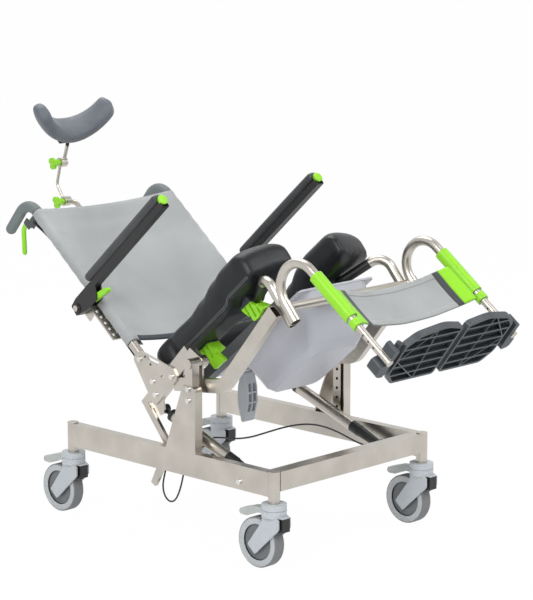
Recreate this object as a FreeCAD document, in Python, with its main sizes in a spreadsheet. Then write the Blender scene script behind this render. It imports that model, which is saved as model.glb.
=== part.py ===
# Tilting shower commode chair, drawn at its real size in millimetres.
# X points forward, Y to the sitter's left and Z up. The floor is Z = 0.
# Base pieces are drawn where they stand. Pieces that tilt are drawn in the seat's own frame,
# whose origin is the tilt pivot, and are then placed there and tipped back by the cell "tilt".
# In that frame the first number of a point is "ahead" of the pivot and the second is "up" from it.
import FreeCAD, Part
import math
import os
import re

Vector = FreeCAD.Vector

SIZES = {
    # Rest pose: angles in degrees, and where the tilt pivot stands over the base's middle
    "tilt": 40, "recline": 10.5, "leg_rake": 13, "arm_rise": 2, "caster_heading": 0,
    "frame_x": -6.3, "pivot_ahead": 80, "pivot_height": 463,
    # Base: a U of tube that is open at the rear, with a post at each corner
    "base_length": 720, "base_width": 540, "rail_width": 25, "rail_height": 60, "rail_bottom": 181,
    "tube_wall": 2, "post_radius": 14.5, "post_bottom": 165, "post_height": 78, "drain_radius": 4,
    "crossbar_depth": 36, "crossbar_height": 48, "crossbar_setback": 8,
    "anchor_ahead": 255, "anchor_height": 200, "anchor_radius": 6, "anchor_reach": 46,
    # Towers and the uprights inside them
    "tower_rear": -1, "tower_front": 104, "tower_top_rear": 61, "tower_top": 408, "tower_fold": 14,
    "sheet": 2, "upright_depth": 26, "upright_width": 24, "upright_hole": 4, "upright_pitch": 25,
    "pin_radius": 8, "pin_head": 13, "running_gap": 0.05, "bolt_radius": 6.5, "bolt_height": 4,
    "tower_bolt_low": 371, "tower_bolt_high": 400,
    # Casters
    "wheel_radius": 62.5, "wheel_width": 32, "hub_radius": 43, "rim_radius": 57.5, "axle_radius": 6,
    "trail": 42.5, "collar_radius": 30.5, "collar_bottom": 133, "fork_gap": 35, "fork_plate": 5,
    "stem_radius": 6, "stem_length": 48, "pedal_width": 22, "pedal_reach": 107, "pedal_height": 141,
    "pedal_pin": 2,
    # Side frames of the seat: rear rail, bent bar and spring tab
    "side_inner": 226, "side_thick": 20, "rail_half": 20, "bar_half": 17, "side_wall": 2,
    "rail_rear": -241, "rail_rear_up": 12, "rail_front": -15, "rail_front_up": 38,
    "bar_rear": -112, "bar_rear_up": 4, "bar_low": 30, "bar_low_up": -90, "bar_front": 294,
    "bar_front_up": -40, "spring_pin_ahead": -203, "spring_pin_up": -19, "tab_thick": 6,
    # Seat hoop of round tube with its sockets and the leg rest receivers
    "hoop_half": 213, "hoop_radius": 12.5, "hoop_up": 54, "hoop_bend": 40,
    "hoop_run": 152, "hoop_fork": 190, "socket_ahead": 302,
    "socket_bottom": -88,
    "front_tube_ahead": 314, "front_tube_up": -45, "front_tube_radius": 11, "rear_tube_ahead": -150,
    "rear_tube_up": 29, "receiver_ahead": 326, "receiver_half": 226.5, "receiver_radius": 14.5,
    "receiver_bottom": -92, "receiver_top": -38,
    # Seat cushion, its clips, the pan and the pan's guides
    "cushion_half": 225, "cushion_opening": 100, "cushion_bottom": 69.5, "cushion_rear": -172,
    "cushion_front": 274, "cushion_nose": 76, "cushion_rear_height": 56, "cushion_front_height": 90,
    "cushion_bend": 75, "cushion_flat_end": 5, "cushion_rise": 172,
    "clip_inner": 133, "clip_width": 39, "clip_length": 38, "clip_fin": 6,
    "clip_rear": -22, "clip_front": 172,
    "pan_rear": -14, "pan_front": 300, "pan_half": 118, "pan_depth": 122, "pan_wall": 2.5,
    "rim_rear": -105, "rim_front": 302, "rim_half": 134, "rim_top": -1, "rim_thick": 5,
    "guide_bottom": -14, "guide_height": 26, "guide_inner": 128, "guide_width": 34, "guide_rear": -110,
    "guide_front": 240, "grip_width": 35, "grip_depth": 38,
    "grip_length": 130, "grip_pin": 3, "grip_hinge": 14,
    # Back frame: its origin is the back tube's lower end, "up" runs along the tube
    "back_ahead": -170, "back_up": 75, "back_half": 233, "back_radius": 12, "back_start": -28,
    "handle_up": 606, "handle_bend": 45, "handle_reach": 110, "grip_radius": 14.5,
    "sling_bottom": 95, "sling_top": 558, "sling_sag": 30, "sling_sheet": 3, "sleeve_radius": 15.5,
    "bracket_thick": 5, "bracket_hole": 4.2,
    "bow_up": 455, "bow_depth": 62, "bow_inset": 70, "bow_radius": 9, "bow_bend": 35, "mast_behind": 80,
    "mast_radius": 7,
    # Headrest, in the back frame
    "lower_clamp": -106, "lower_clamp_up": 671, "upper_clamp": -34, "upper_clamp_up": 748,
    "clamp_radius": 13, "clamp_pin": 4, "link_radius": 4, "knob_radius": 17,
    "head_half": 121, "head_depth": 80, "head_back": 50, "head_up": 785, "head_lift": 18,
    "head_thick": 46, "head_height": 84,
    # Armrests: their own frame starts at the hinge
    "arm_hinge_behind": 33, "arm_hinge_up": 257, "arm_inner": 264, "arm_width": 26, "arm_pin": 5,
    "arm_length": 438, "arm_bar_low": 4, "arm_bar_high": 22, "pad_rear": 78, "pad_inner": 258,
    "pad_width": 38, "pad_height": 26, "lock_length": 62, "lock_ahead": 60, "lock_drop": 14,
    # Release lever under the right handle
    "lever_ahead": -44, "lever_up": 566, "lever_radius": 6.3,
    # Leg rests: hanger hooks and, in the leg frame, what slides on them
    "hanger_radius": 12, "hanger_wall": 2.4, "hook_radius": 61, "hook_up": -37, "hanger_end": 185,
    "sleeve_start": 20, "sleeve_end": 160, "leg_sleeve_radius": 17, "collar_end": 188,
    "strap_start": 65, "strap_end": 178, "strap_sag": 42, "foot_tube_radius": 9.5,
    "foot_tube_start": 60, "foot_tube_end": 309, "foot_hinge_half": 203, "foot_hinge_drop": 287,
    "foot_inner": 9.5, "foot_rear": -86, "foot_front": 86, "foot_thick": 16, "foot_pin": 4,
    # Gas springs: their own frame starts at the lower pin and runs along the spring
    "spring_half": 226, "spring_radius": 15, "spring_bore": 9.5, "spring_top": 296, "rod_radius": 6,
    "rod_length": 240, "eye_radius": 12, "eye_width": 22,
    # Tip pedal on the right rail, and cables
    "pedal_ahead": -224, "pedal_half": 9, "pedal_drop": -112, "pedal_end": -336, "pedal_end_up": -157,
    "pedal_thick": 9, "cable_radius": 2.2,
}

SIDES = (("left", 1), ("right", -1))

doc = FreeCAD.newDocument("shower_chair")
dims = doc.addObject("Spreadsheet::Sheet", "dims")
for row, (alias, number) in enumerate(SIZES.items(), start=1):
    dims.set(f"A{row}", alias)
    dims.set(f"B{row}", str(number))
    dims.setAlias(f"B{row}", alias)
doc.recompute()

nodes = []


# Helpers

def mm(alias):
    """The number in a cell of the sheet."""
    return float(dims.get(alias))


def text(expression):
    """An expression with each alias written as a cell of the sheet."""
    return re.sub(r"[a-z_]+", lambda word: f"dims.{word[0]}" if word[0] in SIZES else word[0], expression)


def bind(thing, **expressions):
    """Bind properties of an object to expressions in the sheet's cells."""
    for prop, expression in expressions.items():
        thing.setExpression(prop, text(expression))
    return thing


def place(thing, x="0", y="0", z="0", turn="0", axis=(0, -1, 0)):
    """Put an object at a point, turned about an axis, all of it from the sheet."""
    spot = f"create(<<vector>>; {text(x)}; {text(y)}; {text(z)})"
    way = f"create(<<rotation>>; create(<<vector>>; {axis[0]}; {axis[1]}; {axis[2]}); {text(turn)})"
    thing.setExpression("Placement", f"create(<<placement>>; {spot}; {way})")
    return thing


def on_seat(thing, ahead="0", up="0", turn="0", y="0"):
    """Carry an object from the seat frame to its tipped place over the base."""
    x = f"frame_x + pivot_ahead + ({ahead}) * cos(tilt) - ({up}) * sin(tilt)"
    z = f"pivot_height + ({ahead}) * sin(tilt) + ({up}) * cos(tilt)"
    return place(thing, x, y, z, f"tilt + ({turn})")


def on_back(thing, y="0"):
    """Carry an object from the back frame to its place on the seat."""
    return on_seat(thing, "back_ahead", "back_up", "recline", y)


LEG_AHEAD = "receiver_ahead + hook_radius * (1 + cos(leg_rake))"
LEG_UP = "hook_up + hook_radius * sin(leg_rake)"


def on_leg(thing, y="0"):
    """Carry an object from the leg frame, which starts where the hook ends, to its place."""
    return on_seat(thing, LEG_AHEAD, LEG_UP, "leg_rake", y)


ARM_AHEAD = "back_ahead - arm_hinge_behind * cos(recline) - arm_hinge_up * sin(recline)"
ARM_UP = "back_up - arm_hinge_behind * sin(recline) + arm_hinge_up * cos(recline)"


def on_arm(thing, y="0"):
    """Carry an object from the arm frame, which starts at the arm's hinge, to its place."""
    return on_seat(thing, ARM_AHEAD, ARM_UP, "arm_rise", y)


def node(label, thing):
    """Name a finished sub-part."""
    thing.Label = label
    nodes.append(thing)
    return thing


def box(name, length, width, height, x="0", y="0", z="0"):
    """A block from its low corner."""
    block = doc.addObject("Part::Box", name)
    bind(block, Length=length, Width=width, Height=height)
    return place(block, x, y, z)


TURNS = {"Z": ((0, 0, 1), "0"), "Y": ((-1, 0, 0), "90"), "X": ((0, 1, 0), "90")}


def rod(name, radius, length, x="0", y="0", z="0", along="Z"):
    """A round bar from the middle of its first end."""
    axis, turn = TURNS[along]
    bar = doc.addObject("Part::Cylinder", name)
    bind(bar, Radius=radius, Height=length)
    return place(bar, x, y, z, turn, axis)


def fuse(name, things):
    """Weld several objects into one."""
    weld = doc.addObject("Part::MultiFuse", name)
    weld.Shapes = things
    return weld


def cut(name, base, *tools):
    """Take tools away from a base."""
    tool = tools[0] if len(tools) == 1 else fuse(f"{name}_tools", list(tools))
    left = doc.addObject("Part::Cut", name)
    left.Base = base
    left.Tool = tool
    return left


def together(name, things):
    """Several separate solids that share one node."""
    pile = doc.addObject("Part::Compound", name)
    pile.Links = things
    return pile


def feature(name, shape):
    """An object whose shape is worked out below."""
    thing = doc.addObject("Part::Feature", name)
    thing.Shape = shape
    return thing


def corner(before, point, after, radius):
    """Start, middle and end of the arc that rounds a corner."""
    back = (before - point).normalize()
    on = (after - point).normalize()
    half = back.getAngle(on) / 2
    reach = radius / math.tan(half)
    middle = point + (back + on).normalize() * (radius / math.sin(half) - radius)
    return point + back * reach, middle, point + on * reach


def outline(corners):
    """Lines and arcs of a closed outline through (x, y, radius) corners."""
    points = [Vector(x, y, 0) for x, y, radius in corners]
    turns = []
    for i, (x, y, radius) in enumerate(corners):
        if radius:
            turns.append(corner(points[i - 1], points[i], points[(i + 1) % len(points)], radius))
        else:
            turns.append((points[i], None, points[i]))
    curves = []
    for i, (start, middle, end) in enumerate(turns):
        if middle:
            curves.append(Part.Arc(start, middle, end))
        following = turns[(i + 1) % len(turns)][0]
        if (following - end).Length > 1e-6:
            curves.append(Part.LineSegment(end, following))
    return curves


def route(points, radius):
    """A path of straight runs joined by tangent arcs."""
    edges = []
    last = points[0]
    for before, point, after in zip(points, points[1:], points[2:]):
        start, middle, end = corner(before, point, after, radius)
        if (start - last).Length > 1e-6:
            edges.append(Part.LineSegment(last, start).toShape())
        edges.append(Part.Arc(start, middle, end).toShape())
        last = end
    if (points[-1] - last).Length > 1e-6:
        edges.append(Part.LineSegment(last, points[-1]).toShape())
    return Part.Wire(edges)


def pipe(points, bend, radius):
    """A solid round bar along a path."""
    ring = Part.Wire(Part.makeCircle(radius, points[0], points[1] - points[0]))
    return route(points, bend).makePipeShell([ring], True, False)


def tube_runs(path, radius, wall):
    """The straight runs and bends of a round tube, each a solid of its own that meets the next."""
    made = []
    for edge in path.Edges:
        start = edge.valueAt(edge.FirstParameter)
        way = edge.tangentAt(edge.FirstParameter)
        bars = []
        for size in (radius, radius - wall):
            ring = Part.Wire(Part.makeCircle(size, start, way))
            bars.append(Part.Wire([edge]).makePipeShell([ring], True, False))
        made.append(bars[0].cut(bars[1]))
    return made


def sketch_on(body, name, role, curves):
    """A sketch of given curves on one of a body's own planes."""
    plane = next(item for item in body.Origin.OriginFeatures if item.Role == role)
    sketch = body.newObject("Sketcher::SketchObject", name)
    sketch.AttachmentSupport = [(plane, "")]
    sketch.MapMode = "FlatFace"
    for curve in curves:
        sketch.addGeometry(curve)
    return sketch


def slot(x0, z0, x1, z1, radius):
    """Lines and arcs of a slot between two points."""
    start, end = Vector(x0, z0, 0), Vector(x1, z1, 0)
    along = (end - start).normalize() * radius
    side = Vector(-along.y, along.x, 0)
    return [Part.LineSegment(start + side, end + side), Part.Arc(end + side, end + along, end - side),
            Part.LineSegment(end - side, start - side), Part.Arc(start - side, start - along, start + side)]


def plate(name, corners, thickness, holes=(), slots=(), plane="XZ_Plane"):
    """A flat piece with holes and slots: padded towards -Y from the XZ plane, or up from the XY plane."""
    body = doc.addObject("PartDesign::Body", name)
    curves = outline(corners)
    curves += [Part.Circle(Vector(x, z, 0), Vector(0, 0, 1), radius) for x, z, radius in holes]
    for shape in slots:
        curves += slot(*shape)
    pad = body.newObject("PartDesign::Pad", f"{name}_pad")
    pad.Profile = sketch_on(body, f"{name}_outline", plane, curves)
    bind(pad, Length=thickness)
    return body


def outer_face(sign, inner, thickness):
    """Y of the face that a plate is padded from, on the left (1) or right (-1) side."""
    return f"{inner} + {thickness}" if sign > 0 else f"-({inner})"


def inward(sign, inner, length):
    """Low Y of a piece that spans inner to inner + length on one side."""
    return inner if sign > 0 else f"-({inner}) - ({length})"


def band(start, end, half):
    """The four corners of a straight bar of a given half height."""
    way = (end - start).normalize()
    off = Vector(-way.y, way.x, 0) * half
    return [start - off, end - off, end + off, start + off]


def square_corners(points):
    """Corners with no rounding."""
    return [(point.x, point.y, 0) for point in points]


# Base frame

def base_side(side, sign):
    """Side rail with its two corner posts and the spring's lower pin, welded together."""
    middle = f"{sign} * base_width / 2"
    low = f"{middle} - rail_width / 2"
    posts = []
    bores = []
    for end, way in (("front", 1), ("rear", -1)):
        x = f"frame_x + {way} * base_length / 2"
        posts.append(rod(f"post_{end}_{side}", "post_radius", "post_height", x, middle, "post_bottom"))
        bores.append(rod(f"stem_bore_{end}_{side}", "stem_radius + running_gap", "stem_length + 2",
                         x, middle, "post_bottom"))
    rail = box(f"rail_{side}", "base_length", "rail_width", "rail_height",
               "frame_x - base_length / 2", low, "rail_bottom")
    hollow = box(f"rail_hollow_{side}", "base_length - 2 * post_radius - 2", "rail_width - 2 * tube_wall",
                 "rail_height - 2 * tube_wall", "frame_x - base_length / 2 + post_radius + 1",
                 f"{low} + tube_wall", "rail_bottom + tube_wall")
    drain = rod(f"rail_drain_{side}", "drain_radius", "2 * tube_wall + 2", "frame_x - base_length / 4",
                middle, "rail_bottom - 1")
    inner = "base_width / 2 - rail_width / 2 - anchor_reach"
    pin = rod(f"anchor_pin_{side}", "anchor_radius", "anchor_reach + 1", "frame_x + anchor_ahead",
              inward(sign, inner, "anchor_reach + 1"), "anchor_height", "Y")
    shell = cut(f"rail_shell_{side}", rail, hollow, drain)
    frame = fuse(f"base_weld_{side}", [shell, *posts, pin])
    return node(f"base_side_{side}", cut(f"base_side_{side}", frame, *bores))


def front_crossbar():
    """Square tube between the two side frames, just behind the front posts."""
    x = "frame_x + base_length / 2 - crossbar_setback - crossbar_depth / 2"
    top = "rail_bottom + rail_height - crossbar_height"
    span = "base_width - rail_width"
    bar = box("crossbar_bar", "crossbar_depth", span, "crossbar_height", x, f"-({span}) / 2", top)
    hollow = box("crossbar_hollow", "crossbar_depth - 2 * tube_wall", f"{span} + 2",
                 "crossbar_height - 2 * tube_wall", f"{x} + tube_wall", f"-({span}) / 2 - 1",
                 f"{top} + tube_wall")
    posts = [rod(f"crossbar_notch_{side}", "post_radius", "post_height", "frame_x + base_length / 2",
                 f"{sign} * base_width / 2", "post_bottom") for side, sign in SIDES]
    node("front_crossbar", cut("front_crossbar", bar, hollow, *posts))


def towers():
    """Folded sheet towers on the rails, open towards the middle of the chair."""
    floor = mm("rail_bottom") + mm("rail_height")
    rear, front, top = mm("tower_rear"), mm("tower_front"), mm("tower_top")
    skin = mm("sheet")
    fold, top_rear = mm("tower_fold"), mm("tower_top_rear")
    shell = [(rear, floor, 0), (front, floor, 0), (front, top, fold), (top_rear, top, 0)]
    lean = (top_rear - rear) / (top - floor)
    inside_rear = rear + 2 * skin
    inside = [(inside_rear - lean, floor - 1, 0), (front - skin, floor - 1, 0),
              (front - skin, top - skin, fold - skin),
              (inside_rear + lean * (top - skin - floor), top - skin, 0)]
    made = []
    for side, sign in SIDES:
        inner = "base_width / 2 - rail_width / 2"
        outer = place(plate(f"tower_skin_{side}", shell, "rail_width"), "frame_x",
                      outer_face(sign, inner, "rail_width"))
        depth = "rail_width - sheet"
        room = place(plate(f"tower_room_{side}", inside, f"{depth} + 1"), "frame_x",
                     outer_face(sign, f"{inner} - 1", f"{depth} + 1"))
        # The upright comes up through the tower's top
        gate = box(f"tower_gate_{side}", "upright_depth + 1", "upright_width + 1", "20",
                   "frame_x + pivot_ahead - upright_depth / 2 - 0.5",
                   inward(sign, "base_width / 2 + rail_width / 2 - sheet - upright_width - 1",
                          "upright_width + 1"), "tower_top - 10")
        made.append(cut(f"tower_{side}", outer, room, gate))
    node("towers", together("towers", made))


def uprights():
    """Square tubes that set the seat's height, with rows of holes and a rounded pivot head."""
    made = []
    floor = "rail_bottom + rail_height"
    inner = "base_width / 2 + rail_width / 2 - sheet - upright_width"
    for side, sign in SIDES:
        low = inward(sign, inner, "upright_width")
        x = "frame_x + pivot_ahead"
        bar = box(f"upright_bar_{side}", "upright_depth", "upright_width", f"pivot_height - ({floor})",
                  f"{x} - upright_depth / 2", low, floor)
        head = rod(f"upright_head_{side}", "upright_depth / 2", "upright_width", x, low,
                   "pivot_height", "Y")
        hollow = box(f"upright_hollow_{side}", "upright_depth - 2 * tube_wall",
                     "upright_width - 2 * tube_wall", f"pivot_height - ({floor}) - 40",
                     f"{x} - upright_depth / 2 + tube_wall", f"{low} + tube_wall", floor)
        bore = rod(f"upright_bore_{side}", "pin_radius + running_gap", "upright_width + 2", x,
                   f"{low} - 1", "pivot_height", "Y")
        holes = [rod(f"upright_hole_{side}_{i}", "upright_hole", "upright_width + 2", x, f"{low} - 1",
                     f"{floor} + {i} * upright_pitch", "Y") for i in range(1, 6)]
        solid = fuse(f"upright_solid_{side}", [bar, head])
        made.append(cut(f"upright_{side}", solid, hollow, bore, *holes))
    node("uprights", together("uprights", made))


def frame_bolts():
    """Bolt heads on the outside of the towers and rails."""
    heads = []
    face = "base_width / 2 + rail_width / 2"
    for side, sign in SIDES:
        low = inward(sign, face, "bolt_height")
        for name, x, z in (("low", "pivot_ahead", "tower_bolt_low"),
                           ("high", "pivot_ahead", "tower_bolt_high"),
                           ("anchor", "anchor_ahead", "anchor_height")):
            heads.append(rod(f"base_bolt_{name}_{side}", "bolt_radius", "bolt_height",
                             f"frame_x + {x}", low, z, "Y"))
    node("frame_bolts", together("frame_bolts", heads))


# Casters: drawn about their swivel axis with the wheel trailing along -X

def caster_place(thing, ahead, sign, x="0", z="0"):
    """Stand a caster piece under its post, turned to the photographed heading."""
    return place(thing, f"frame_x + {ahead} * base_length / 2 + ({x}) * cos(caster_heading)",
                 f"{sign} * base_width / 2 + ({x}) * sin(caster_heading)", z, "caster_heading", (0, 0, 1))


def caster_fork(name):
    """Swivel housing with its stem, two fork arms, axle and brake block."""
    axle_x, axle_z = -mm("trail"), mm("wheel_radius")
    low = mm("collar_bottom")
    arm = [(-19, low + 3, 0), (22, low + 3, 0), (34, low - 2, 3), (34, low - 26, 6),
           (axle_x - 1, axle_z - 28, 4), (axle_x - 25.5, axle_z - 7, 4), (-19, low - 12, 8)]
    arms = []
    for edge, y in (("a", "fork_gap / 2 + fork_plate"), ("b", "-fork_gap / 2")):
        arms.append(place(plate(f"{name}_arm_{edge}", arm, "fork_plate"), y=y))
    collar = rod(f"{name}_collar", "collar_radius", "post_bottom - 0.4 - collar_bottom", z="collar_bottom")
    ring = cut(f"{name}_ring", rod(f"{name}_ring_out", "collar_radius + 2", "2", z="post_bottom - 16"),
               rod(f"{name}_ring_in", "collar_radius - 1.5", "2", z="post_bottom - 16"))
    stem = rod(f"{name}_stem", "stem_radius", "stem_length", z="post_bottom - 2")
    axle = rod(f"{name}_axle", "axle_radius", "fork_gap + 2 * fork_plate", "-trail",
               "-fork_gap / 2 - fork_plate", "wheel_radius", "Y")
    brake = box(f"{name}_brake", "26", "26", "36", "14", "-13", "collar_bottom - 33")
    slot = box(f"{name}_slot", "40", "pedal_width + 3", "21", "-48", "-pedal_width / 2 - 1.5",
               "pedal_height - 9.5")
    pin = rod(f"{name}_pedal_pin", "pedal_pin", "pedal_width + 8", "-14", "-pedal_width / 2 - 4",
              "pedal_height", "Y")
    body = cut(f"{name}_body", fuse(f"{name}_housing", [collar, *arms, brake]), ring, slot)
    return fuse(name, [body, stem, axle, pin])


def caster_wheel(name):
    """Wheel with a dished hub, a raised rim and a rounded tread, turned about its axle."""
    half = mm("wheel_width") / 2
    tread, rim, hub = mm("wheel_radius"), mm("rim_radius"), mm("hub_radius")
    bore = mm("axle_radius") + mm("running_gap")
    face = [(bore, half - 2), (bore + 8, half - 2), (bore + 12, half - 6), (hub, half - 6),
            (hub + 2, half - 1), (rim, half - 1), (rim + 1, half), (tread, half)]
    corners = [(r, y, 0) for r, y in face[:-1]] + [(tread, half, 3.5), (tread, -half, 3.5)]
    corners += [(r, -y, 0) for r, y in reversed(face[:-1])]
    body = doc.addObject("PartDesign::Body", name)
    turn = body.newObject("PartDesign::Revolution", f"{name}_turn")
    turn.Profile = sketch_on(body, f"{name}_profile", "XY_Plane", outline(corners))
    turn.ReferenceAxis = (turn.Profile[0], ["V_Axis"])
    turn.Angle = 360
    return body


def brake_pedal(name):
    """Tab of the brake, which swings on a pin in the housing."""
    reach, height = mm("pedal_reach"), mm("pedal_height")
    tab = [(-10, height - 6, 2), (-10, height + 9, 2), (-60, height + 8.5, 40), (4 - reach, height - 5, 5),
           (-reach, height - 13, 3), (5 - reach, height - 19.5, 3), (-81, height - 20, 8),
           (-42, height - 5, 12)]
    return plate(name, tab, "pedal_width", [(-14, height, mm("pedal_pin") + mm("running_gap"))])


def casters():
    """Four braked swivel casters, all trailing the same way."""
    for end, ahead in (("front", 1), ("rear", -1)):
        for side, sign in SIDES:
            spot = f"{end}_{side}"
            node(f"caster_fork_{spot}", caster_place(caster_fork(f"caster_fork_{spot}"), ahead, sign))
            wheel = caster_wheel(f"caster_wheel_{spot}")
            node(f"caster_wheel_{spot}", caster_place(wheel, ahead, sign, "-trail", "wheel_radius"))
            pedal = brake_pedal(f"brake_pedal_{spot}")
            shift = "pedal_width / 2"
            place(pedal, f"frame_x + {ahead} * base_length / 2 - {shift} * sin(caster_heading)",
                  f"{sign} * base_width / 2 + {shift} * cos(caster_heading)", "0",
                  "caster_heading", (0, 0, 1))
            node(f"brake_pedal_{spot}", pedal)


# Seat frame

def bent_bar(half):
    """Corners of the bent side bar: down from the rail, round the bend and forward to the socket."""
    rear = Vector(mm("bar_rear"), mm("bar_rear_up"), 0)
    low = Vector(mm("bar_low"), mm("bar_low_up"), 0)
    front = Vector(mm("bar_front"), mm("bar_front_up"), 0)
    first, second = band(rear, low, half), band(low, front, half)
    fall, rise = (low - rear).normalize(), (front - low).normalize()
    bisector = (rise - fall).normalize()
    miter = bisector * (half / math.sin(fall.getAngle(rise * -1) / 2))
    bend = 46
    return [(first[0].x, first[0].y, 0), (low.x - miter.x, low.y - miter.y, bend + half),
            (second[1].x, second[1].y, 0), (second[2].x, second[2].y, 0),
            (low.x + miter.x, low.y + miter.y, bend - half), (first[3].x, first[3].y, 0)]


def seat_sides():
    """Each side of the tilting frame: rear rail, bent bar, pivot hub and pin, and the spring's tab."""
    rail_start = Vector(mm("rail_rear"), mm("rail_rear_up"), 0)
    rail_end = Vector(mm("rail_front"), mm("rail_front_up"), 0)
    wall = mm("side_wall")
    rail = square_corners(band(rail_start, rail_end, mm("rail_half")))
    along = (rail_end - rail_start).normalize()
    rail_room = square_corners(band(rail_start - along * 2, rail_end - along * wall,
                                    mm("rail_half") - wall))
    bar = bent_bar(mm("bar_half"))
    bar_room = bent_bar(mm("bar_half") - wall)
    gusset = [(-28, 38, 4), (-4, 44, 4), (13, 4, 8), (6, -12, 8), (-30, -56, 4), (-48, -40, 4), (-16, 2, 6)]
    pin_x, pin_z = mm("spring_pin_ahead"), mm("spring_pin_up")
    tab = [(pin_x - 6, 8, 0), (pin_x + 42, 12, 0), (pin_x + 14, pin_z - 16, 10),
           (pin_x - 12, pin_z - 12, 8)]
    made = []
    for side, sign in SIDES:
        face = outer_face(sign, "side_inner", "side_thick")
        room_thick = "side_thick - 2 * side_wall"
        room_face = outer_face(sign, "side_inner + side_wall", room_thick)
        skins = [place(plate(f"seat_rail_{side}", rail, "side_thick"), y=face),
                 place(plate(f"seat_bar_{side}", bar, "side_thick"), y=face)]
        rooms = [place(plate(f"seat_rail_room_{side}", rail_room, room_thick), y=room_face),
                 place(plate(f"seat_bar_room_{side}", bar_room, room_thick), y=room_face)]
        shell = cut(f"seat_side_shell_{side}", fuse(f"seat_side_skin_{side}", skins), *rooms)
        outside = "side_inner + side_thick - tab_thick"
        web = place(plate(f"gusset_{side}", gusset, "tab_thick"), y=outer_face(sign, outside, "tab_thick"))
        ear = place(plate(f"spring_tab_{side}", tab, "tab_thick"), y=outer_face(sign, outside, "tab_thick"))
        hub = rod(f"pivot_hub_{side}", "pin_radius + 7", "side_thick",
                  y=inward(sign, "side_inner", "side_thick"), along="Y")
        head_low = "base_width / 2 + rail_width / 2 - sheet + 0.3"
        reach = f"{head_low} + 1 - side_inner"
        pin = rod(f"tilt_pin_{side}", "pin_radius", reach, y=inward(sign, "side_inner", reach), along="Y")
        bush_long = f"{head_low} - 0.6 - upright_width - side_inner"
        bush = rod(f"tilt_bush_{side}", "pin_head", bush_long, y=inward(sign, "side_inner", bush_long),
                   along="Y")
        head = rod(f"tilt_pin_head_{side}", "pin_head", "bolt_height",
                   y=inward(sign, head_low, "bolt_height"), along="Y")
        spring_low = "spring_half - eye_width / 2 - 2"
        spring_reach = f"side_inner + side_thick - 1 - ({spring_low})"
        spring_pin = rod(f"spring_pin_{side}", "anchor_radius", spring_reach, "spring_pin_ahead",
                         inward(sign, spring_low, spring_reach), "spring_pin_up", "Y")
        made.append(fuse(f"seat_side_{side}", [shell, web, ear, hub, pin, bush, head, spring_pin]))
    node("seat_sides", on_seat(together("seat_sides", made)))


def level(spot, y0, y1, size):
    """A round bar across the chair from one width to another."""
    return Part.makeCylinder(size, y1 - y0, Vector(spot.x, y0, spot.z), Vector(0, 1, 0))


def rear_tube():
    """Middle of the cross tube behind the pan."""
    return Vector(mm("rear_tube_ahead"), 0, mm("rear_tube_up"))


def hoop_line(sign):
    """Corners of the short tube from one front clip to where the socket takes over."""
    up = mm("hoop_up")
    fork = Vector(mm("hoop_fork"), sign * mm("hoop_run"), up)
    elbow = Vector(mm("socket_ahead"), sign * mm("hoop_half"), up)
    start = Vector(mm("clip_front") - mm("clip_length"), fork.y, up)
    return [start, fork, fork + (elbow - fork) * 0.66]


def seat_hoop():
    """Cross tubes, short tubes under the cushion's noses, and their sockets with the receivers."""
    up, half = mm("hoop_up"), mm("hoop_half")
    radius, wall, bend = mm("hoop_radius"), mm("tube_wall"), mm("hoop_bend")
    low, high = mm("receiver_bottom"), mm("receiver_top")
    stub, reach = half - 23, half + 6
    thin = mm("front_tube_radius")
    front = Vector(mm("front_tube_ahead"), 0, mm("front_tube_up"))
    rear, rear_reach = rear_tube(), mm("side_inner")
    tubes, sockets = [], []
    for spot, long, size in ((front, stub, thin), (rear, rear_reach, radius)):
        tubes.append(level(spot, -long, long, size).cut(level(spot, -long, long, size - wall)))
    for side, sign in SIDES:
        line = hoop_line(sign)
        tubes += tube_runs(route(line, bend), radius, wall)
        elbow = Vector(mm("socket_ahead"), sign * half, up)
        path = [line[-1], elbow, Vector(elbow.x, elbow.y, mm("socket_bottom"))]
        spot = Vector(mm("receiver_ahead"), sign * mm("receiver_half"), low)
        y0, y1 = sorted((sign * stub, sign * reach))
        weld = pipe(path, bend, radius).fuse([
            Part.makeCylinder(mm("receiver_radius"), high - low, spot), level(front, y0, y1, thin)])
        rooms = [pipe(path, bend, radius - wall),
                 Part.makeCylinder(mm("hanger_radius") + mm("running_gap"), high - low + thin, spot)]
        sockets.append(feature(f"socket_{side}", weld.cut(rooms)))
    pieces = [feature(f"hoop_tube_{i}", shape) for i, shape in enumerate(tubes)]
    node("seat_hoop", on_seat(together("seat_hoop", pieces)))
    node("seat_sockets", on_seat(together("seat_sockets", sockets)))


def crowned(spot, across, up, width, height, inset):
    """A padded section: flat at its back, arched on its face, with its sides drawn in."""
    half = width / 2
    a = spot - across * (half - inset)
    b = spot + across * (half - inset)
    c = spot + across * half + up * height * 0.55
    d = spot - across * half + up * height * 0.55
    pull = across * inset * 0.15
    edges = [Part.LineSegment(a, b), Part.Arc(b, (b + c) * 0.5 + pull, c),
             Part.Arc(c, spot + up * height, d), Part.Arc(d, (d + a) * 0.5 - pull, a)]
    return Part.Wire([edge.toShape() for edge in edges])


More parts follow.
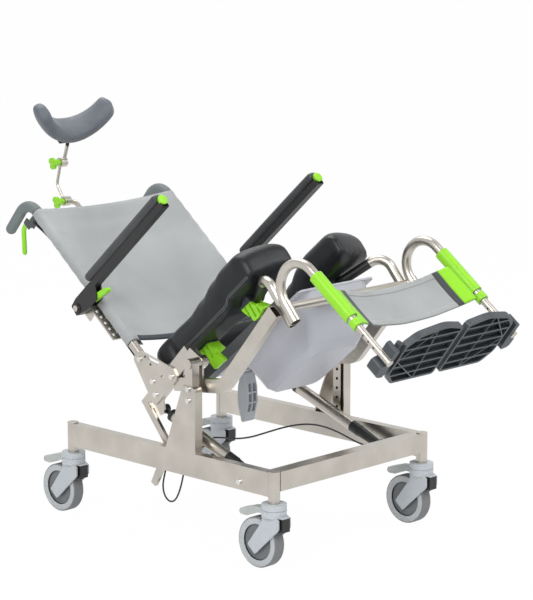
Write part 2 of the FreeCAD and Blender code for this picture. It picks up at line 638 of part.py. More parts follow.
def seat_cushion():
    """Horseshoe cushion, open at the front, whose arms rise to two broad noses with flat fronts."""
    outer, inner, nose = mm("cushion_half"), mm("cushion_opening"), mm("cushion_nose")
    bottom, bend = mm("cushion_bottom"), mm("cushion_bend")
    width, middle = outer - inner, (outer + inner) / 2
    rear, front = mm("cushion_rear") + width / 2, mm("cushion_front")
    low, high = mm("cushion_rear_height"), mm("cushion_front_height")
    forward = Vector(1, 0, 0)

    def station(x, wide, tall, inset):
        # Place, heading, width, height and how far the sides draw in, at a point of the arm
        share = min(1, max(0, (x - mm("cushion_flat_end")) / mm("cushion_rise")))
        share = share * share * (3 - 2 * share)
        opening = inner + (nose - inner) * share
        spot = Vector(x, (outer + opening) / 2, bottom)
        return spot, forward, (outer - opening) * wide, (low + (high - low) * share) * tall, inset

    arm = [station(front, 0.80, 0.68, 6), station(front - 5, 0.91, 0.86, 8),
           station(front - 16, 0.98, 0.97, 11)]
    for x in (front - 40, front - 80, front - 130, front - 180, front - 230, 0, rear + bend):
        arm.append(station(x, 1, 1, 12))
    hub = Vector(rear + bend, middle - bend, bottom)
    for degrees in (30, 60, 90):
        a = math.radians(degrees)
        heading = Vector(math.cos(a), math.sin(a), 0)
        arm.append((hub + Vector(-heading.y, heading.x, 0) * bend, heading, width, low, 12))
    right = [(Vector(spot.x, -spot.y, spot.z), Vector(-way.x, way.y, 0), *rest)
             for spot, way, *rest in arm]
    up = Vector(0, 0, 1)
    wires = [crowned(spot, Vector(-way.y, way.x, 0), up, *rest)
             for spot, way, *rest in right + arm[::-1]]
    node("seat_cushion", on_seat(feature("seat_cushion", Part.makeLoft(wires, True, False))))


def rounded(x0, x1, half, z, radius):
    """A level rounded rectangle."""
    corners = [(x0, -half, radius), (x1, -half, radius), (x1, half, radius), (x0, half, radius)]
    wire = Part.Wire([curve.toShape() for curve in outline(corners)])
    wire.translate(Vector(0, 0, z))
    return wire


def seat_clips():
    """Finned clips under the cushion that hook over the pan's guides."""
    top = mm("cushion_bottom")
    faces = {"rear": [(-34, top, 3), (6, top, 3), (10, 44, 4), (34, -14, 4), (-14, -14, 4), (-19, 16, 4),
                      (-32, 48, 4)],
             "front": [(-34, top, 3), (4, top, 3), (8, 44, 4), (36, 16, 4), (8, 6, 4), (-12, 6, 4),
                       (-32, 48, 4)]}
    over_guide = "guide_inner + guide_width + 1.3 - clip_inner"
    made = []
    for side, sign in SIDES:
        for end, face in faces.items():
            name = f"clip_{end}_{side}"
            block = place(plate(f"{name}_block", face, "clip_width"), f"clip_{end}",
                          outer_face(sign, "clip_inner", "clip_width"))
            saddle = feature(f"{name}_saddle", pipe(hoop_line(sign), mm("hoop_bend"), mm("hoop_radius") + 0.2))
            room = box(f"{name}_room", "clip_length * 3", over_guide, "guide_height + 0.8",
                       f"clip_{end} - clip_length * 1.5", inward(sign, "clip_inner - 1", over_guide),
                       "guide_bottom - 0.5")
            slots = [box(f"{name}_slot_{i}", "clip_fin", "clip_width / 3", "clip_length",
                         f"clip_{end} + ({3 * i}) * clip_fin - clip_fin / 2",
                         inward(sign, "clip_inner + clip_width * 2 / 3", "clip_width / 3 + 1"),
                         "guide_bottom + guide_height") for i in (-1, 0, 1)]
            made.append(cut(name, block, saddle, room, *slots))
    node("seat_clips", on_seat(together("seat_clips", made)))


def pan_guides():
    """Grooved runners that the pan's rim slides in."""
    made = []
    for side, sign in SIDES:
        bar = box(f"guide_bar_{side}", "guide_front - guide_rear", "guide_width", "guide_height",
                  "guide_rear", inward(sign, "guide_inner", "guide_width"), "guide_bottom")
        groove = box(f"guide_groove_{side}", "guide_front - guide_rear + 2", "rim_half - guide_inner + 1.5",
                     "rim_thick + 1", "guide_rear - 1",
                     inward(sign, "guide_inner - 0.5", "rim_half - guide_inner + 1.5"),
                     "rim_top - rim_thick - 0.5")
        made.append(cut(f"guide_{side}", bar, groove))
    node("pan_guides", on_seat(together("pan_guides", made)))


def commode_pan():
    """Deep pan with a flat rim and two ears at its rear for the grip's pin."""
    rear, front, half = mm("pan_rear"), mm("pan_front"), mm("pan_half")
    top, wall = mm("rim_top"), mm("pan_wall")
    under = top - mm("rim_thick")
    deep = under - mm("pan_depth")

    def shell(inset, floor, lid):
        foot = rounded(rear + 24 + inset, front - 100 - inset, half - 36 - inset, floor, 26)
        hip = rounded(rear + 15 + inset, front - 74 - inset, half - 24 - inset, deep + 16, 28)
        waist = rounded(rear + 6 + inset, front - 14 - inset, half - 13 - inset, under - 42, 31)
        mouth = rounded(rear + inset, front - inset, half - inset, under, 34)
        neck = Part.Face(mouth).extrude(Vector(0, 0, max(lid - under, 0.5)))
        return Part.makeLoft([foot, hip, waist, mouth], True, True).fuse(neck)

    rim_end, ear = mm("rim_rear"), mm("grip_hinge")
    flat = Part.Face(rounded(rim_end, mm("rim_front"), mm("rim_half"), under, 12))
    body = flat.extrude(Vector(0, 0, mm("rim_thick"))).fuse(shell(0, deep, under))
    pin = Vector(rim_end - 3, -25, -ear)
    profile = outline([(rim_end + 13, under + 2, 0), (rim_end - 10, under + 2, 3),
                       (rim_end - 10, -ear - 7, 5), (rim_end + 4, -ear - 7, 5)])
    side = Part.Face(Part.Wire([curve.toShape() for curve in profile]))
    side.rotate(Vector(0, 0, 0), Vector(1, 0, 0), 90)
    ears = []
    for y in (25, -19):
        lug = side.extrude(Vector(0, -6, 0))
        lug.translate(Vector(0, y, 0))
        ears.append(lug)
    body = body.fuse([*ears, Part.makeCylinder(mm("grip_pin"), 50, pin, Vector(0, 1, 0))])
    body = body.cut(shell(wall, deep + wall, top + 1))
    node("commode_pan", on_seat(feature("commode_pan", body)))


def pan_handle():
    """Grip that hangs from the pan's ears, lens shaped, with two rows of pockets in its front."""
    deep, long, top = mm("grip_depth") / 2, mm("grip_length"), 7
    lens = [(-top, top, 6), (top, top, 6), (deep * 0.9, -long * 0.25, 40), (deep, -long * 0.55, 40),
            (5, top - long, 5), (-5, top - long, 5), (-deep, -long * 0.55, 40),
            (-deep * 0.9, -long * 0.25, 40)]
    body = place(plate("grip_body", lens, "grip_width", [(0, 0, mm("grip_pin") + mm("running_gap"))]),
                 y="grip_width / 2")
    pockets = []
    for i in range(3):
        for j, y in enumerate(("-grip_width / 2 + 4", "2")):
            pockets.append(box(f"grip_pocket_{i}_{j}", "grip_depth / 3", "grip_width / 2 - 6",
                               "grip_length / 6", "grip_depth / 2 - grip_depth / 3", y,
                               f"-grip_length * {0.34 + 0.2 * i}"))
    grip = cut("grip_cut", body, *pockets)
    x = "frame_x + pivot_ahead + (rim_rear - 3) * cos(tilt) + grip_hinge * sin(tilt)"
    z = "pivot_height + (rim_rear - 3) * sin(tilt) - grip_hinge * cos(tilt)"
    node("pan_handle", place(grip, x, "0", z))


def tip_pedal():
    """Bent bar on the right rail that is stepped on to start the tilt."""
    half, x, low = mm("pedal_half"), mm("pedal_ahead"), mm("pedal_drop")
    end = Vector(mm("pedal_end"), mm("pedal_end_up"), 0)
    way = (end - Vector(x, low, 0)).normalize()
    off = Vector(-way.y, way.x, 0) * half
    shape = [(x - half, 14, 4), (x + half, 14, 4), (x + half, low - half, 22),
             (end.x + off.x, end.y + off.y, 2), (end.x - off.x, end.y - off.y, 2),
             (x - half, low + half, 8)]
    bar = plate("tip_pedal", shape, "pedal_thick")
    node("tip_pedal", on_seat(bar, y=outer_face(-1, "side_inner + side_thick", "pedal_thick")))


# Backrest

BRACKET_BOLTS = ((-173, 115), (-169, 46), (-182, 15), (-102, 20))


def back_brackets():
    """Perforated plates that bolt the back tubes to the rails at a chosen angle."""
    edge = [(-192, 132, 13), (-158, 132, 13), (-84, 34, 12), (-86, 4, 12), (-206, -6, 10)]
    hole = mm("bracket_hole")
    holes = [(-147, 83, hole), (-132, 38, hole)]
    slots = [(-151, 108, -122, 72, hole)]
    made = []
    for side, sign in SIDES:
        body = plate(f"bracket_{side}", edge, "bracket_thick", holes, slots)
        made.append(place(body, y=outer_face(sign, "side_inner + side_thick", "bracket_thick")))
    node("back_brackets", on_seat(together("back_brackets", made)))


def seat_bolts():
    """Bolt heads on the brackets."""
    heads = []
    face = "side_inner + side_thick + bracket_thick"
    for side, sign in SIDES:
        for i, (x, z) in enumerate(BRACKET_BOLTS):
            heads.append(rod(f"seat_bolt_{i}_{side}", "bolt_radius", "bolt_height", str(x),
                             inward(sign, face, "bolt_height"), str(z), "Y"))
    node("seat_bolts", on_seat(together("seat_bolts", heads)))


def back_path(start, sign):
    """Corners of a back tube: up, then back into the push handle."""
    y, top = sign * mm("back_half"), mm("handle_up")
    return [Vector(0, y, start), Vector(0, y, top), Vector(-mm("handle_reach"), y, top)]


def back_tubes():
    """Two bent tubes that carry the sling and end in push handles, with soft grips."""
    radius, wall, bend = mm("back_radius"), mm("tube_wall"), mm("handle_bend")
    thick = mm("grip_radius")
    tubes, grips = [], []
    for side, sign in SIDES:
        runs = tube_runs(route(back_path(mm("back_start"), sign), bend), radius, wall)
        tubes += [feature(f"back_tube_{side}_{i}", shape) for i, shape in enumerate(runs)]
        sheath = route(back_path(mm("handle_up") - bend, sign), bend)
        cover = tube_runs(sheath, thick, thick - radius - 0.05)
        tip = Vector(-mm("handle_reach"), sign * mm("back_half"), mm("handle_up"))
        dome = Part.makeSphere(thick, tip, Vector(-1, 0, 0), 0, 90, 360)
        grips += [feature(f"push_grip_{side}_{i}", shape) for i, shape in enumerate([*cover, dome])]
    node("back_tubes", on_back(together("back_tubes", tubes)))
    node("push_grips", on_back(together("push_grips", grips)))


BRACKET_STUDS = (150, 200, 250)


def bow_way(sign):
    """The way the crossbar bow leaves a back tube."""
    return Vector(-mm("bow_depth"), -sign * mm("bow_inset"), 0)


def back_sling():
    """Sling hung between the back tubes: a sagging panel sewn into a sleeve on each side."""
    low, high, sag = mm("sling_bottom"), mm("sling_top"), mm("sling_sag")
    half, thick = mm("back_half") - mm("sleeve_radius") + 1.5, mm("sling_sheet")
    rise = high - low
    sections = []
    for share, depth in ((0, 0.45), (0.15, 0.75), (0.32, 1), (0.52, 1.05), (0.72, 0.85), (0.88, 0.45),
                         (1, 0.12)):
        z, x = low + rise * share, -sag * depth
        front = Part.Arc(Vector(0, -half, z), Vector(x, 0, z), Vector(0, half, z))
        back = Part.Arc(Vector(-thick, half, z), Vector(x - thick, 0, z), Vector(-thick, -half, z))
        ends = [Part.LineSegment(Vector(0, half, z), Vector(-thick, half, z)),
                Part.LineSegment(Vector(-thick, -half, z), Vector(0, -half, z))]
        sections.append(Part.Wire([edge.toShape() for edge in (front, ends[0], back, ends[1])]))
    sling = Part.makeLoft(sections, True, False)
    rooms = []
    for side, sign in SIDES:
        foot = Vector(0, sign * mm("back_half"), low)
        sling = sling.fuse(Part.makeCylinder(mm("sleeve_radius"), rise, foot))
        rooms.append(Part.makeCylinder(mm("back_radius") + 0.3, rise + 2, foot - Vector(0, 0, 1)))
        behind = Vector(-25, foot.y, 0)
        for z in BRACKET_STUDS:
            rooms.append(Part.makeCylinder(5.5, 25, behind + Vector(0, 0, z), Vector(1, 0, 0)))
        bow_end = foot + Vector(0, 0, mm("bow_up") - low)
        rooms.append(Part.makeCylinder(mm("bow_radius") + 0.5, 40, bow_end, bow_way(sign)))
    node("back_sling", on_back(feature("back_sling", sling.cut([*rooms, lever_room()]))))


def headrest_crossbar():
    """Bowed tube behind the sling with the block that holds the headrest's mast."""
    half, up, deep = mm("back_half"), mm("bow_up"), -mm("bow_depth")
    ends = [Vector(0, sign * half, up) for sign in (-1, 1)]
    path = [ends[0], ends[0] + bow_way(-1), ends[1] + bow_way(1), ends[1]]
    runs = tube_runs(route(path, mm("bow_bend")), mm("bow_radius"), mm("tube_wall"))
    for end, sign in ((0, -1), (-1, 1)):
        runs[end] = runs[end].cut(Part.makeCylinder(mm("back_radius"), 60, Vector(0, sign * half, up - 30)))
    mast = Vector(-mm("mast_behind"), 0, up - 30)
    block = Part.makeBox(46, 40, 40, Vector(deep - 34, -20, up - 20))
    block = block.cut([pipe(path, mm("bow_bend"), mm("bow_radius")),
                       Part.makeCylinder(mm("mast_radius") + mm("running_gap"), 60, mast)])
    pieces = [feature(f"crossbar_run_{i}", shape) for i, shape in enumerate([*runs, block])]
    node("headrest_crossbar", on_back(together("headrest_crossbar", pieces)))


def lever_room():
    """Room in the right sleeve for the lever's housing."""
    top = mm("handle_up") - mm("handle_bend")
    return Part.makeBox(30, 22, 16, Vector(-32, -mm("back_half") - 11, top - 15))


def release_lever():
    """Forked housing behind the right back tube and the bent rod that hangs in it below the grip."""
    y = -mm("back_half")
    x, up = mm("lever_ahead"), mm("lever_up")
    top = mm("handle_up") - mm("handle_bend") - 0.5
    radius, cheek = mm("lever_radius"), 3
    room = radius + 0.5
    half = room + cheek
    block = Part.makeBox(-x, 2 * half, 12, Vector(x - 4, y - half, top - 12))
    cheeks = [Part.makeBox(18, cheek, up + 20 - top, Vector(x - 9, y + side, top - 12))
              for side in (-half, room)]
    pin = Part.makeCylinder(2.5, 2 * half, Vector(x, y - half, up), Vector(0, 1, 0))
    gap = Part.makeBox(40, 2 * room, 40, Vector(x - 22, y - room, up - 12))
    bore = Part.makeCylinder(mm("back_radius") + 0.05, 30, Vector(0, y, top - 26))
    housing = block.fuse(cheeks).cut([gap, bore]).fuse(pin)
    node("lever_housing", on_back(feature("lever_housing", housing)))
    path = [Vector(x + 2, y, up), Vector(x - 28, y, up + 7), Vector(x - 77, y, up - 37)]
    knuckle = Part.makeCylinder(8, 2 * radius, Vector(x, y - radius, up), Vector(0, 1, 0))
    lever = pipe(path, 25, radius).fuse([knuckle, Part.makeSphere(radius, path[-1])])
    bore = Part.makeCylinder(2.5 + mm("running_gap"), 30, Vector(x, y - 15, up), Vector(0, 1, 0))
    lever = lever.cut(bore)
    node("release_lever", on_back(feature("release_lever", lever)))


def lever_cables():
    """Two release cables that run down behind the right back tube into the rail."""
    top = mm("handle_up") - mm("handle_bend") - 10
    made = []
    for name, start, lane, deep, end in (("a", -229, -219, -30.5, 0), ("b", -237, -213.5, -35.5, 9)):
        path = [Vector(-30, start, top), Vector(-31, (start + lane) / 2, top - 30),
                Vector(deep, lane, top - 62), Vector(deep - 0.5, lane, 240), Vector(deep - 2, lane, 20),
                Vector(-38 - end, lane, -38), Vector(-39.5 - end, -mm("side_inner"), -48)]
        made.append(feature(f"lever_cable_{name}", cable_route(path)))
    node("lever_cables", on_back(together("lever_cables", made)))


def cable_route(points):
    """A cable along a route, each bend as large as its two runs allow."""
    edges, last, radii = [], points[0], []
    for before, point, after in zip(points, points[1:], points[2:]):
        turn = math.pi - (before - point).getAngle(after - point)
        run = min((before - point).Length, (after - point).Length)
        radius = 0.45 * run / math.tan(turn / 2)
        radii.append(round(radius))
        start, middle, end = corner(before, point, after, radius)
        edges.append(Part.LineSegment(last, start).toShape())
        edges.append(Part.Arc(start, middle, end).toShape())
        last = end
    edges.append(Part.LineSegment(last, points[-1]).toShape())
    path = Part.Wire(edges)
    ring = Part.Wire(Part.makeCircle(mm("cable_radius"), points[0], points[1] - points[0]))
    shape = path.makePipeShell([ring], True, False)
    share = shape.Volume / (math.pi * mm("cable_radius") ** 2 * path.Length)
    print("cable bends", radii, "length", round(path.Length), "volume share", round(share, 3))
    return shape


# Headrest, in the back frame: the clamps' eyes sit side by side on each lobed knob's pin

def eye(x, z, y0, y1):
    """A round clamp eye between two Y planes."""
    return Part.makeCylinder(mm("clamp_radius"), y1 - y0, Vector(x, y0, z), Vector(0, 1, 0))


def clamp_bore(x, z):
    """Room for a clamp's pin."""
    return Part.makeCylinder(mm("clamp_pin") + mm("running_gap"), 40, Vector(x, -20, z), Vector(0, 1, 0))


def headrest():
    """Mast, link rod with lobed knobs, and the holder that carries the pad."""
    low, low_up = mm("lower_clamp"), mm("lower_clamp_up")
    high, high_up = mm("upper_clamp"), mm("upper_clamp_up")
    behind = -mm("mast_behind")
    near, gap = 1, mm("clamp_radius") + 1
    mast_path = [Vector(behind, 0, mm("bow_up") - 55), Vector(behind, 0, low_up - 31),
                 Vector(low, 0, low_up)]
    mast = pipe(mast_path, 30, mm("mast_radius"))
    beside = Part.makeCylinder(gap, 30, Vector(low, near - 30, low_up), Vector(0, 1, 0))
    mast = mast.cut(beside).fuse(eye(low, low_up, near, 11)).cut(clamp_bore(low, low_up))
    node("headrest_mast", on_back(feature("headrest_mast", mast)))
    y = -5
    link_path = [Vector(low, y, low_up), Vector(low + 14, y, low_up + 51), Vector(high, y, high_up)]
    bar = pipe(link_path, 24, mm("link_radius"))
    link = bar.fuse([eye(low, low_up, -11, near - 0.1), eye(high, high_up, -11, near - 0.1)])
    link = link.cut([clamp_bore(low, low_up), clamp_bore(high, high_up)])
    node("headrest_link", on_back(feature("headrest_link", link)))
    knobs = []
    for name, x, z in (("low", low, low_up), ("high", high, high_up)):
        shaft = Part.makeCylinder(mm("clamp_pin"), 46, Vector(x, -34, z), Vector(0, 1, 0))
        hub = Part.makeCylinder(8, 14, Vector(x, -25.2, z), Vector(0, 1, 0))
        lobe = mm("knob_radius") / 2
        lobes = []
        for turn in (0, 2 * math.pi / 3, 4 * math.pi / 3):
            spot = Vector(x + lobe * math.sin(turn), -35, z + lobe * math.cos(turn))
            lobes.append(Part.makeCylinder(lobe, 10, spot, Vector(0, 1, 0)))
        knobs.append(feature(f"knob_{name}", shaft.fuse([hub, *lobes])))
    node("headrest_knobs", on_back(together("headrest_knobs", knobs)))
    back, up = mm("head_back"), mm("head_up")
    rear = back - mm("head_thick") / 2
    reach = Vector(rear - 3, 6, up - 14) - Vector(high, 6, high_up)
    arm = Part.makeCylinder(5, reach.Length, Vector(high, 6, high_up), reach)
    pad_plate = Part.makeBox(4, 56, 34, Vector(rear - 4.2, -28, up - 20))
    holder = arm.fuse([eye(high, high_up, near, 11), pad_plate]).cut(clamp_bore(high, high_up))
    node("headrest_holder", on_back(feature("headrest_holder", holder)))
    node("headrest_pad", on_back(feature("headrest_pad", head_pad())))


def head_pad():
    """Curved neck pad, deepest in its middle, whose ends sweep forward and up."""
    half, deep = mm("head_half"), mm("head_depth")
    radius = (half * half + deep * deep) / (2 * deep)
    thick, tall = mm("head_thick"), mm("head_height")
    middle = Vector(mm("head_back") + radius, 0, mm("head_up"))
    span = math.degrees(math.asin(half / radius))
    span = 180 - span if deep > radius else span
    sections = []
    for share, grow in ((-1, 0.42), (-0.96, 0.74), (-0.86, 0.92), (-0.55, 0.95), (-0.28, 0.98), (0, 1),
                        (0.28, 0.98), (0.55, 0.95), (0.86, 0.92), (0.96, 0.74), (1, 0.42)):
        a = math.radians(span * share)
        inward_way = Vector(math.cos(a), -math.sin(a), 0)
        lift = mm("head_lift") * share * share
        height = tall * grow * (1 - 0.22 * abs(share))
        depth = thick * (0.45 + 0.55 * grow)
        spot = middle + Vector(0, 0, lift) - inward_way * (radius + depth / 2)
        sections.append(crowned(spot, Vector(0, 0, 1), inward_way, height, depth, height * 0.16))
    return Part.makeLoft(sections, True, False)


# Armrests

def arm_brackets():
    """Perforated angle plates behind the back tubes that carry the arms' hinge pins."""
    behind, up = -mm("arm_hinge_behind"), mm("arm_hinge_up")
    made = []
    for side, sign in SIDES:
        y = mm("back_half")
        low = min(sign * (y - 11), sign * (y + 29))
        shape = Part.makeBox(4, 40, 142, Vector(-22, low, 130))
        holes = [Part.makeCylinder(4.2, 8, Vector(-24, sign * (y + 18), z), Vector(1, 0, 0))
                 for z in (145, 165, 185, 205, 225)]
        shape = shape.cut(holes)
        edge = min(sign * (y + 25), sign * (y + 29))
        flange = Part.makeBox(30, 4, 52, Vector(behind - 15, edge, up - 37))
        reach = mm("arm_inner") + mm("arm_width") + 2.3 - y - 25
        pin_low = sign * (y + 25)
        pin = Part.makeCylinder(mm("arm_pin"), reach, Vector(behind, pin_low, up), Vector(0, sign, 0))
        cap_foot = Vector(behind, pin_low + sign * (reach - 1.8), up)
        cap = Part.makeCylinder(mm("arm_pin") + 3, 4, cap_foot, Vector(0, sign, 0))
        studs = [Part.makeCylinder(5, 12, Vector(-20, sign * y, z), Vector(1, 0, 0)) for z in BRACKET_STUDS]
        shape = shape.fuse([flange, pin, cap, *studs])
        shape = shape.cut(Part.makeCylinder(mm("back_radius"), 400, Vector(0, sign * y, 0)))
        made.append(feature(f"arm_bracket_{side}", shape))
    node("arm_brackets", on_back(together("arm_brackets", made)))


def arm_bar(side, sign):
    """Hinged bar with an eye at its rear and a slot for the lock lever."""
    low, high, long = mm("arm_bar_low"), mm("arm_bar_high"), mm("arm_length") - 4
    side_view = [(-15, 16, 5), (12, high, 20), (long, high, 3), (long, low, 3), (96, low, 6), (78, -26, 8),
                 (34, -26, 14), (-15, -14, 5)]
    inner, wide = "arm_inner + 2", "arm_width - 4"
    body = place(plate(f"arm_web_{side}", side_view, wide), y=outer_face(sign, inner, wide))
    boss = rod(f"arm_boss_{side}", "13", "arm_width", y=inward(sign, "arm_inner", "arm_width"), along="Y")
    bore = rod(f"arm_bore_{side}", "arm_pin + running_gap", "arm_width + 2",
               y=inward(sign, "arm_inner - 1", "arm_width + 2"), along="Y")
    room = box(f"arm_room_{side}", "arm_length - 100", "arm_width - 8", "arm_bar_high - arm_bar_low - 4",
               "100", inward(sign, "arm_inner + 4", "arm_width - 8"), "arm_bar_low + 2")
    slot_wide = "arm_width - 11"
    groove = box(f"lock_groove_{side}", "62", slot_wide, "32", "lock_ahead - 14",
                 inward(sign, "arm_inner + 5.5", slot_wide), "-30")
    pin = rod(f"lock_pin_{side}", "2.5", wide, "lock_ahead", inward(sign, inner, wide), "-lock_drop", "Y")
    bar = cut(f"arm_cut_{side}", fuse(f"arm_weld_{side}", [body, boss]), bore, room, groove)
    node(f"arm_bar_{side}", on_arm(fuse(f"arm_body_{side}", [bar, pin])))


def arm_lock(side, sign):
    """Lever that lets the arm swing up, pinned in the slot under its bar."""
    x, z = mm("lock_ahead"), -mm("lock_drop")
    end = x + mm("lock_length")
    shape = [(x - 7, z + 6, 5), (x + 8, z + 7, 4), (end, z - 6, 4), (end, z - 18, 6),
             (x + 10, z - 10, 10), (x - 7, z - 7, 5)]
    thick = "arm_width - 12"
    lever = plate(f"lock_plate_{side}", shape, thick, [(x, z, 2.5 + mm("running_gap"))])
    node(f"arm_lock_{side}", on_arm(lever, y=outer_face(sign, "arm_inner + 6", thick)))


def arm_pad(side, sign):
    """Long pad with a rounded top and rounded-off ends."""
    start, end = mm("pad_rear"), mm("arm_length")
    wide, tall = mm("pad_width"), mm("pad_height")
    y, z = sign * (mm("pad_inner") + wide / 2), mm("arm_bar_high")
    up, across = Vector(0, 0, 1), Vector(0, 1, 0)
    sections = []
    for x, grow in ((start, 0.6), (start + 3, 0.84), (start + 12, 1), (end - 12, 1), (end - 3, 0.84),
                    (end, 0.6)):
        sections.append(crowned(Vector(x, y, z), across, up, wide * (0.6 + 0.4 * grow), tall * grow, 4))
    pad = Part.makeLoft(sections, True, True)
    node(f"arm_pad_{side}", on_arm(feature(f"arm_pad_{side}", pad)))


# Leg rests

def hangers():
    """Hooked tubes that drop into the receivers and carry the leg rests."""
    radius, rake = mm("hook_radius"), math.radians(mm("leg_rake"))
    rear, up = mm("receiver_ahead"), mm("hook_up")
    made = []
    for side, sign in SIDES:
        y = sign * mm("receiver_half")
        hub = Vector(rear + radius, y, up)

        def rim(a):
            return hub + Vector(math.cos(a), 0, math.sin(a)) * radius

        turns = [rim(math.pi + (rake - math.pi) * share) for share in (0, 0.25, 0.5, 0.75, 1)]
        foot = Vector(rear, y, mm("receiver_bottom") + 8)
        tip = turns[4] + Vector(math.sin(rake), 0, -math.cos(rake)) * mm("hanger_end")
        path = Part.Wire([Part.LineSegment(foot, turns[0]).toShape(), Part.Arc(*turns[:3]).toShape(),
                          Part.Arc(*turns[2:]).toShape(), Part.LineSegment(turns[4], tip).toShape()])
        runs = tube_runs(path, mm("hanger_radius"), mm("hanger_wall"))
        made += [feature(f"hanger_{side}_{i}", shape) for i, shape in enumerate(runs)]
    node("hangers", on_seat(together("hangers", made)))


def calf_sleeves():
    """Coloured sleeves on the hangers and the clamping collars at their lower ends."""
    bore = mm("hanger_radius") + 0.1
    slide = mm("foot_tube_radius") + 0.1
    made = []
    for side, sign in SIDES:
        y = sign * mm("receiver_half")
        end = mm("sleeve_end")
        foot = Vector(0, y, -end)
        long = end - mm("sleeve_start")
        sleeve = Part.makeCylinder(mm("leg_sleeve_radius"), long, foot)
        sleeve = sleeve.cut(Part.makeCylinder(bore, long, foot))
        made.append(feature(f"calf_sleeve_{side}", sleeve))
        end = mm("collar_end")
        foot = Vector(0, y, -end)
        long = end - mm("sleeve_end") - 9
        collar = Part.makeCylinder(mm("leg_sleeve_radius") - 2, long, foot)
        deep = end - mm("hanger_end")
        collar = collar.cut([Part.makeCylinder(slide, long, foot),
                             Part.makeCylinder(bore, long, foot + Vector(0, 0, deep))])
        made.append(feature(f"calf_collar_{side}", collar))
    node("calf_sleeves", on_leg(together("calf_sleeves", made)))


def calf_strap():
    """Wide strap that hangs between the sleeves behind the calves."""
    half, sag, thick = mm("receiver_half"), mm("strap_sag"), 3
    low, high = -mm("strap_end"), -mm("strap_start")
    sections = []
    for share, depth in ((0, 0.94), (0.5, 1), (1, 0.92)):
        z, x = low + (high - low) * share, -sag * depth
        front = Part.Arc(Vector(0, -half, z), Vector(x, 0, z), Vector(0, half, z))
        back = Part.Arc(Vector(-thick, half, z), Vector(x - thick, 0, z), Vector(-thick, -half, z))
        ends = [Part.LineSegment(Vector(0, half, z), Vector(-thick, half, z)),
                Part.LineSegment(Vector(-thick, -half, z), Vector(0, -half, z))]
        sections.append(Part.Wire([edge.toShape() for edge in (front, ends[0], back, ends[1])]))
    strap = Part.makeLoft(sections, True, False)
    for side, sign in SIDES:
        strap = strap.cut(Part.makeCylinder(mm("leg_sleeve_radius"), 400, Vector(0, sign * half, -300)))
    node("calf_strap", on_leg(feature("calf_strap", strap)))


def foot_tube(side, sign):
    """Inner tube that slides in the hanger, with the block and pin that the footplate folds on."""
    y, drop = sign * mm("receiver_half"), -mm("foot_hinge_drop")
    top, end = -mm("foot_tube_start"), -mm("foot_tube_end")
    radius, hinge = mm("foot_tube_radius"), sign * mm("foot_hinge_half")
    bar = Part.makeCylinder(radius, top - end, Vector(0, y, end))
    room = Part.makeCylinder(radius - 2, top - end, Vector(0, y, end + 30))
    holes = [Part.makeCylinder(2.5, 30, Vector(0, y - 15, z), Vector(0, 1, 0)) for z in (-215, -235, -255)]
    inner, outer = hinge + sign * 9, y + sign * 18
    cheek = outline([(-36, inner, 4), (36, inner, 4), (36, y, 6), (-10, y, 6), (-14, outer, 10),
                     (-46, outer, 14), (-52, inner + sign * 4, 6)])
    block = Part.Face(Part.Wire([curve.toShape() for curve in cheek])).extrude(Vector(0, 0, 35))
    block.translate(Vector(0, 0, drop - 18))
    web = Part.makeBox(36, 12, 12, Vector(-16.5, min(hinge, hinge + sign * 12), drop - 4.5))
    barrel = Part.makeCylinder(8, 36, Vector(-16.5, hinge, drop), Vector(1, 0, 0))
    pin = Part.makeCylinder(mm("foot_pin"), 85, Vector(-41, hinge, drop), Vector(1, 0, 0))
    body = bar.cut([room, *holes]).fuse([block, web, barrel, pin])
    node(f"foot_tube_{side}", on_leg(feature(f"foot_tube_{side}", body)))


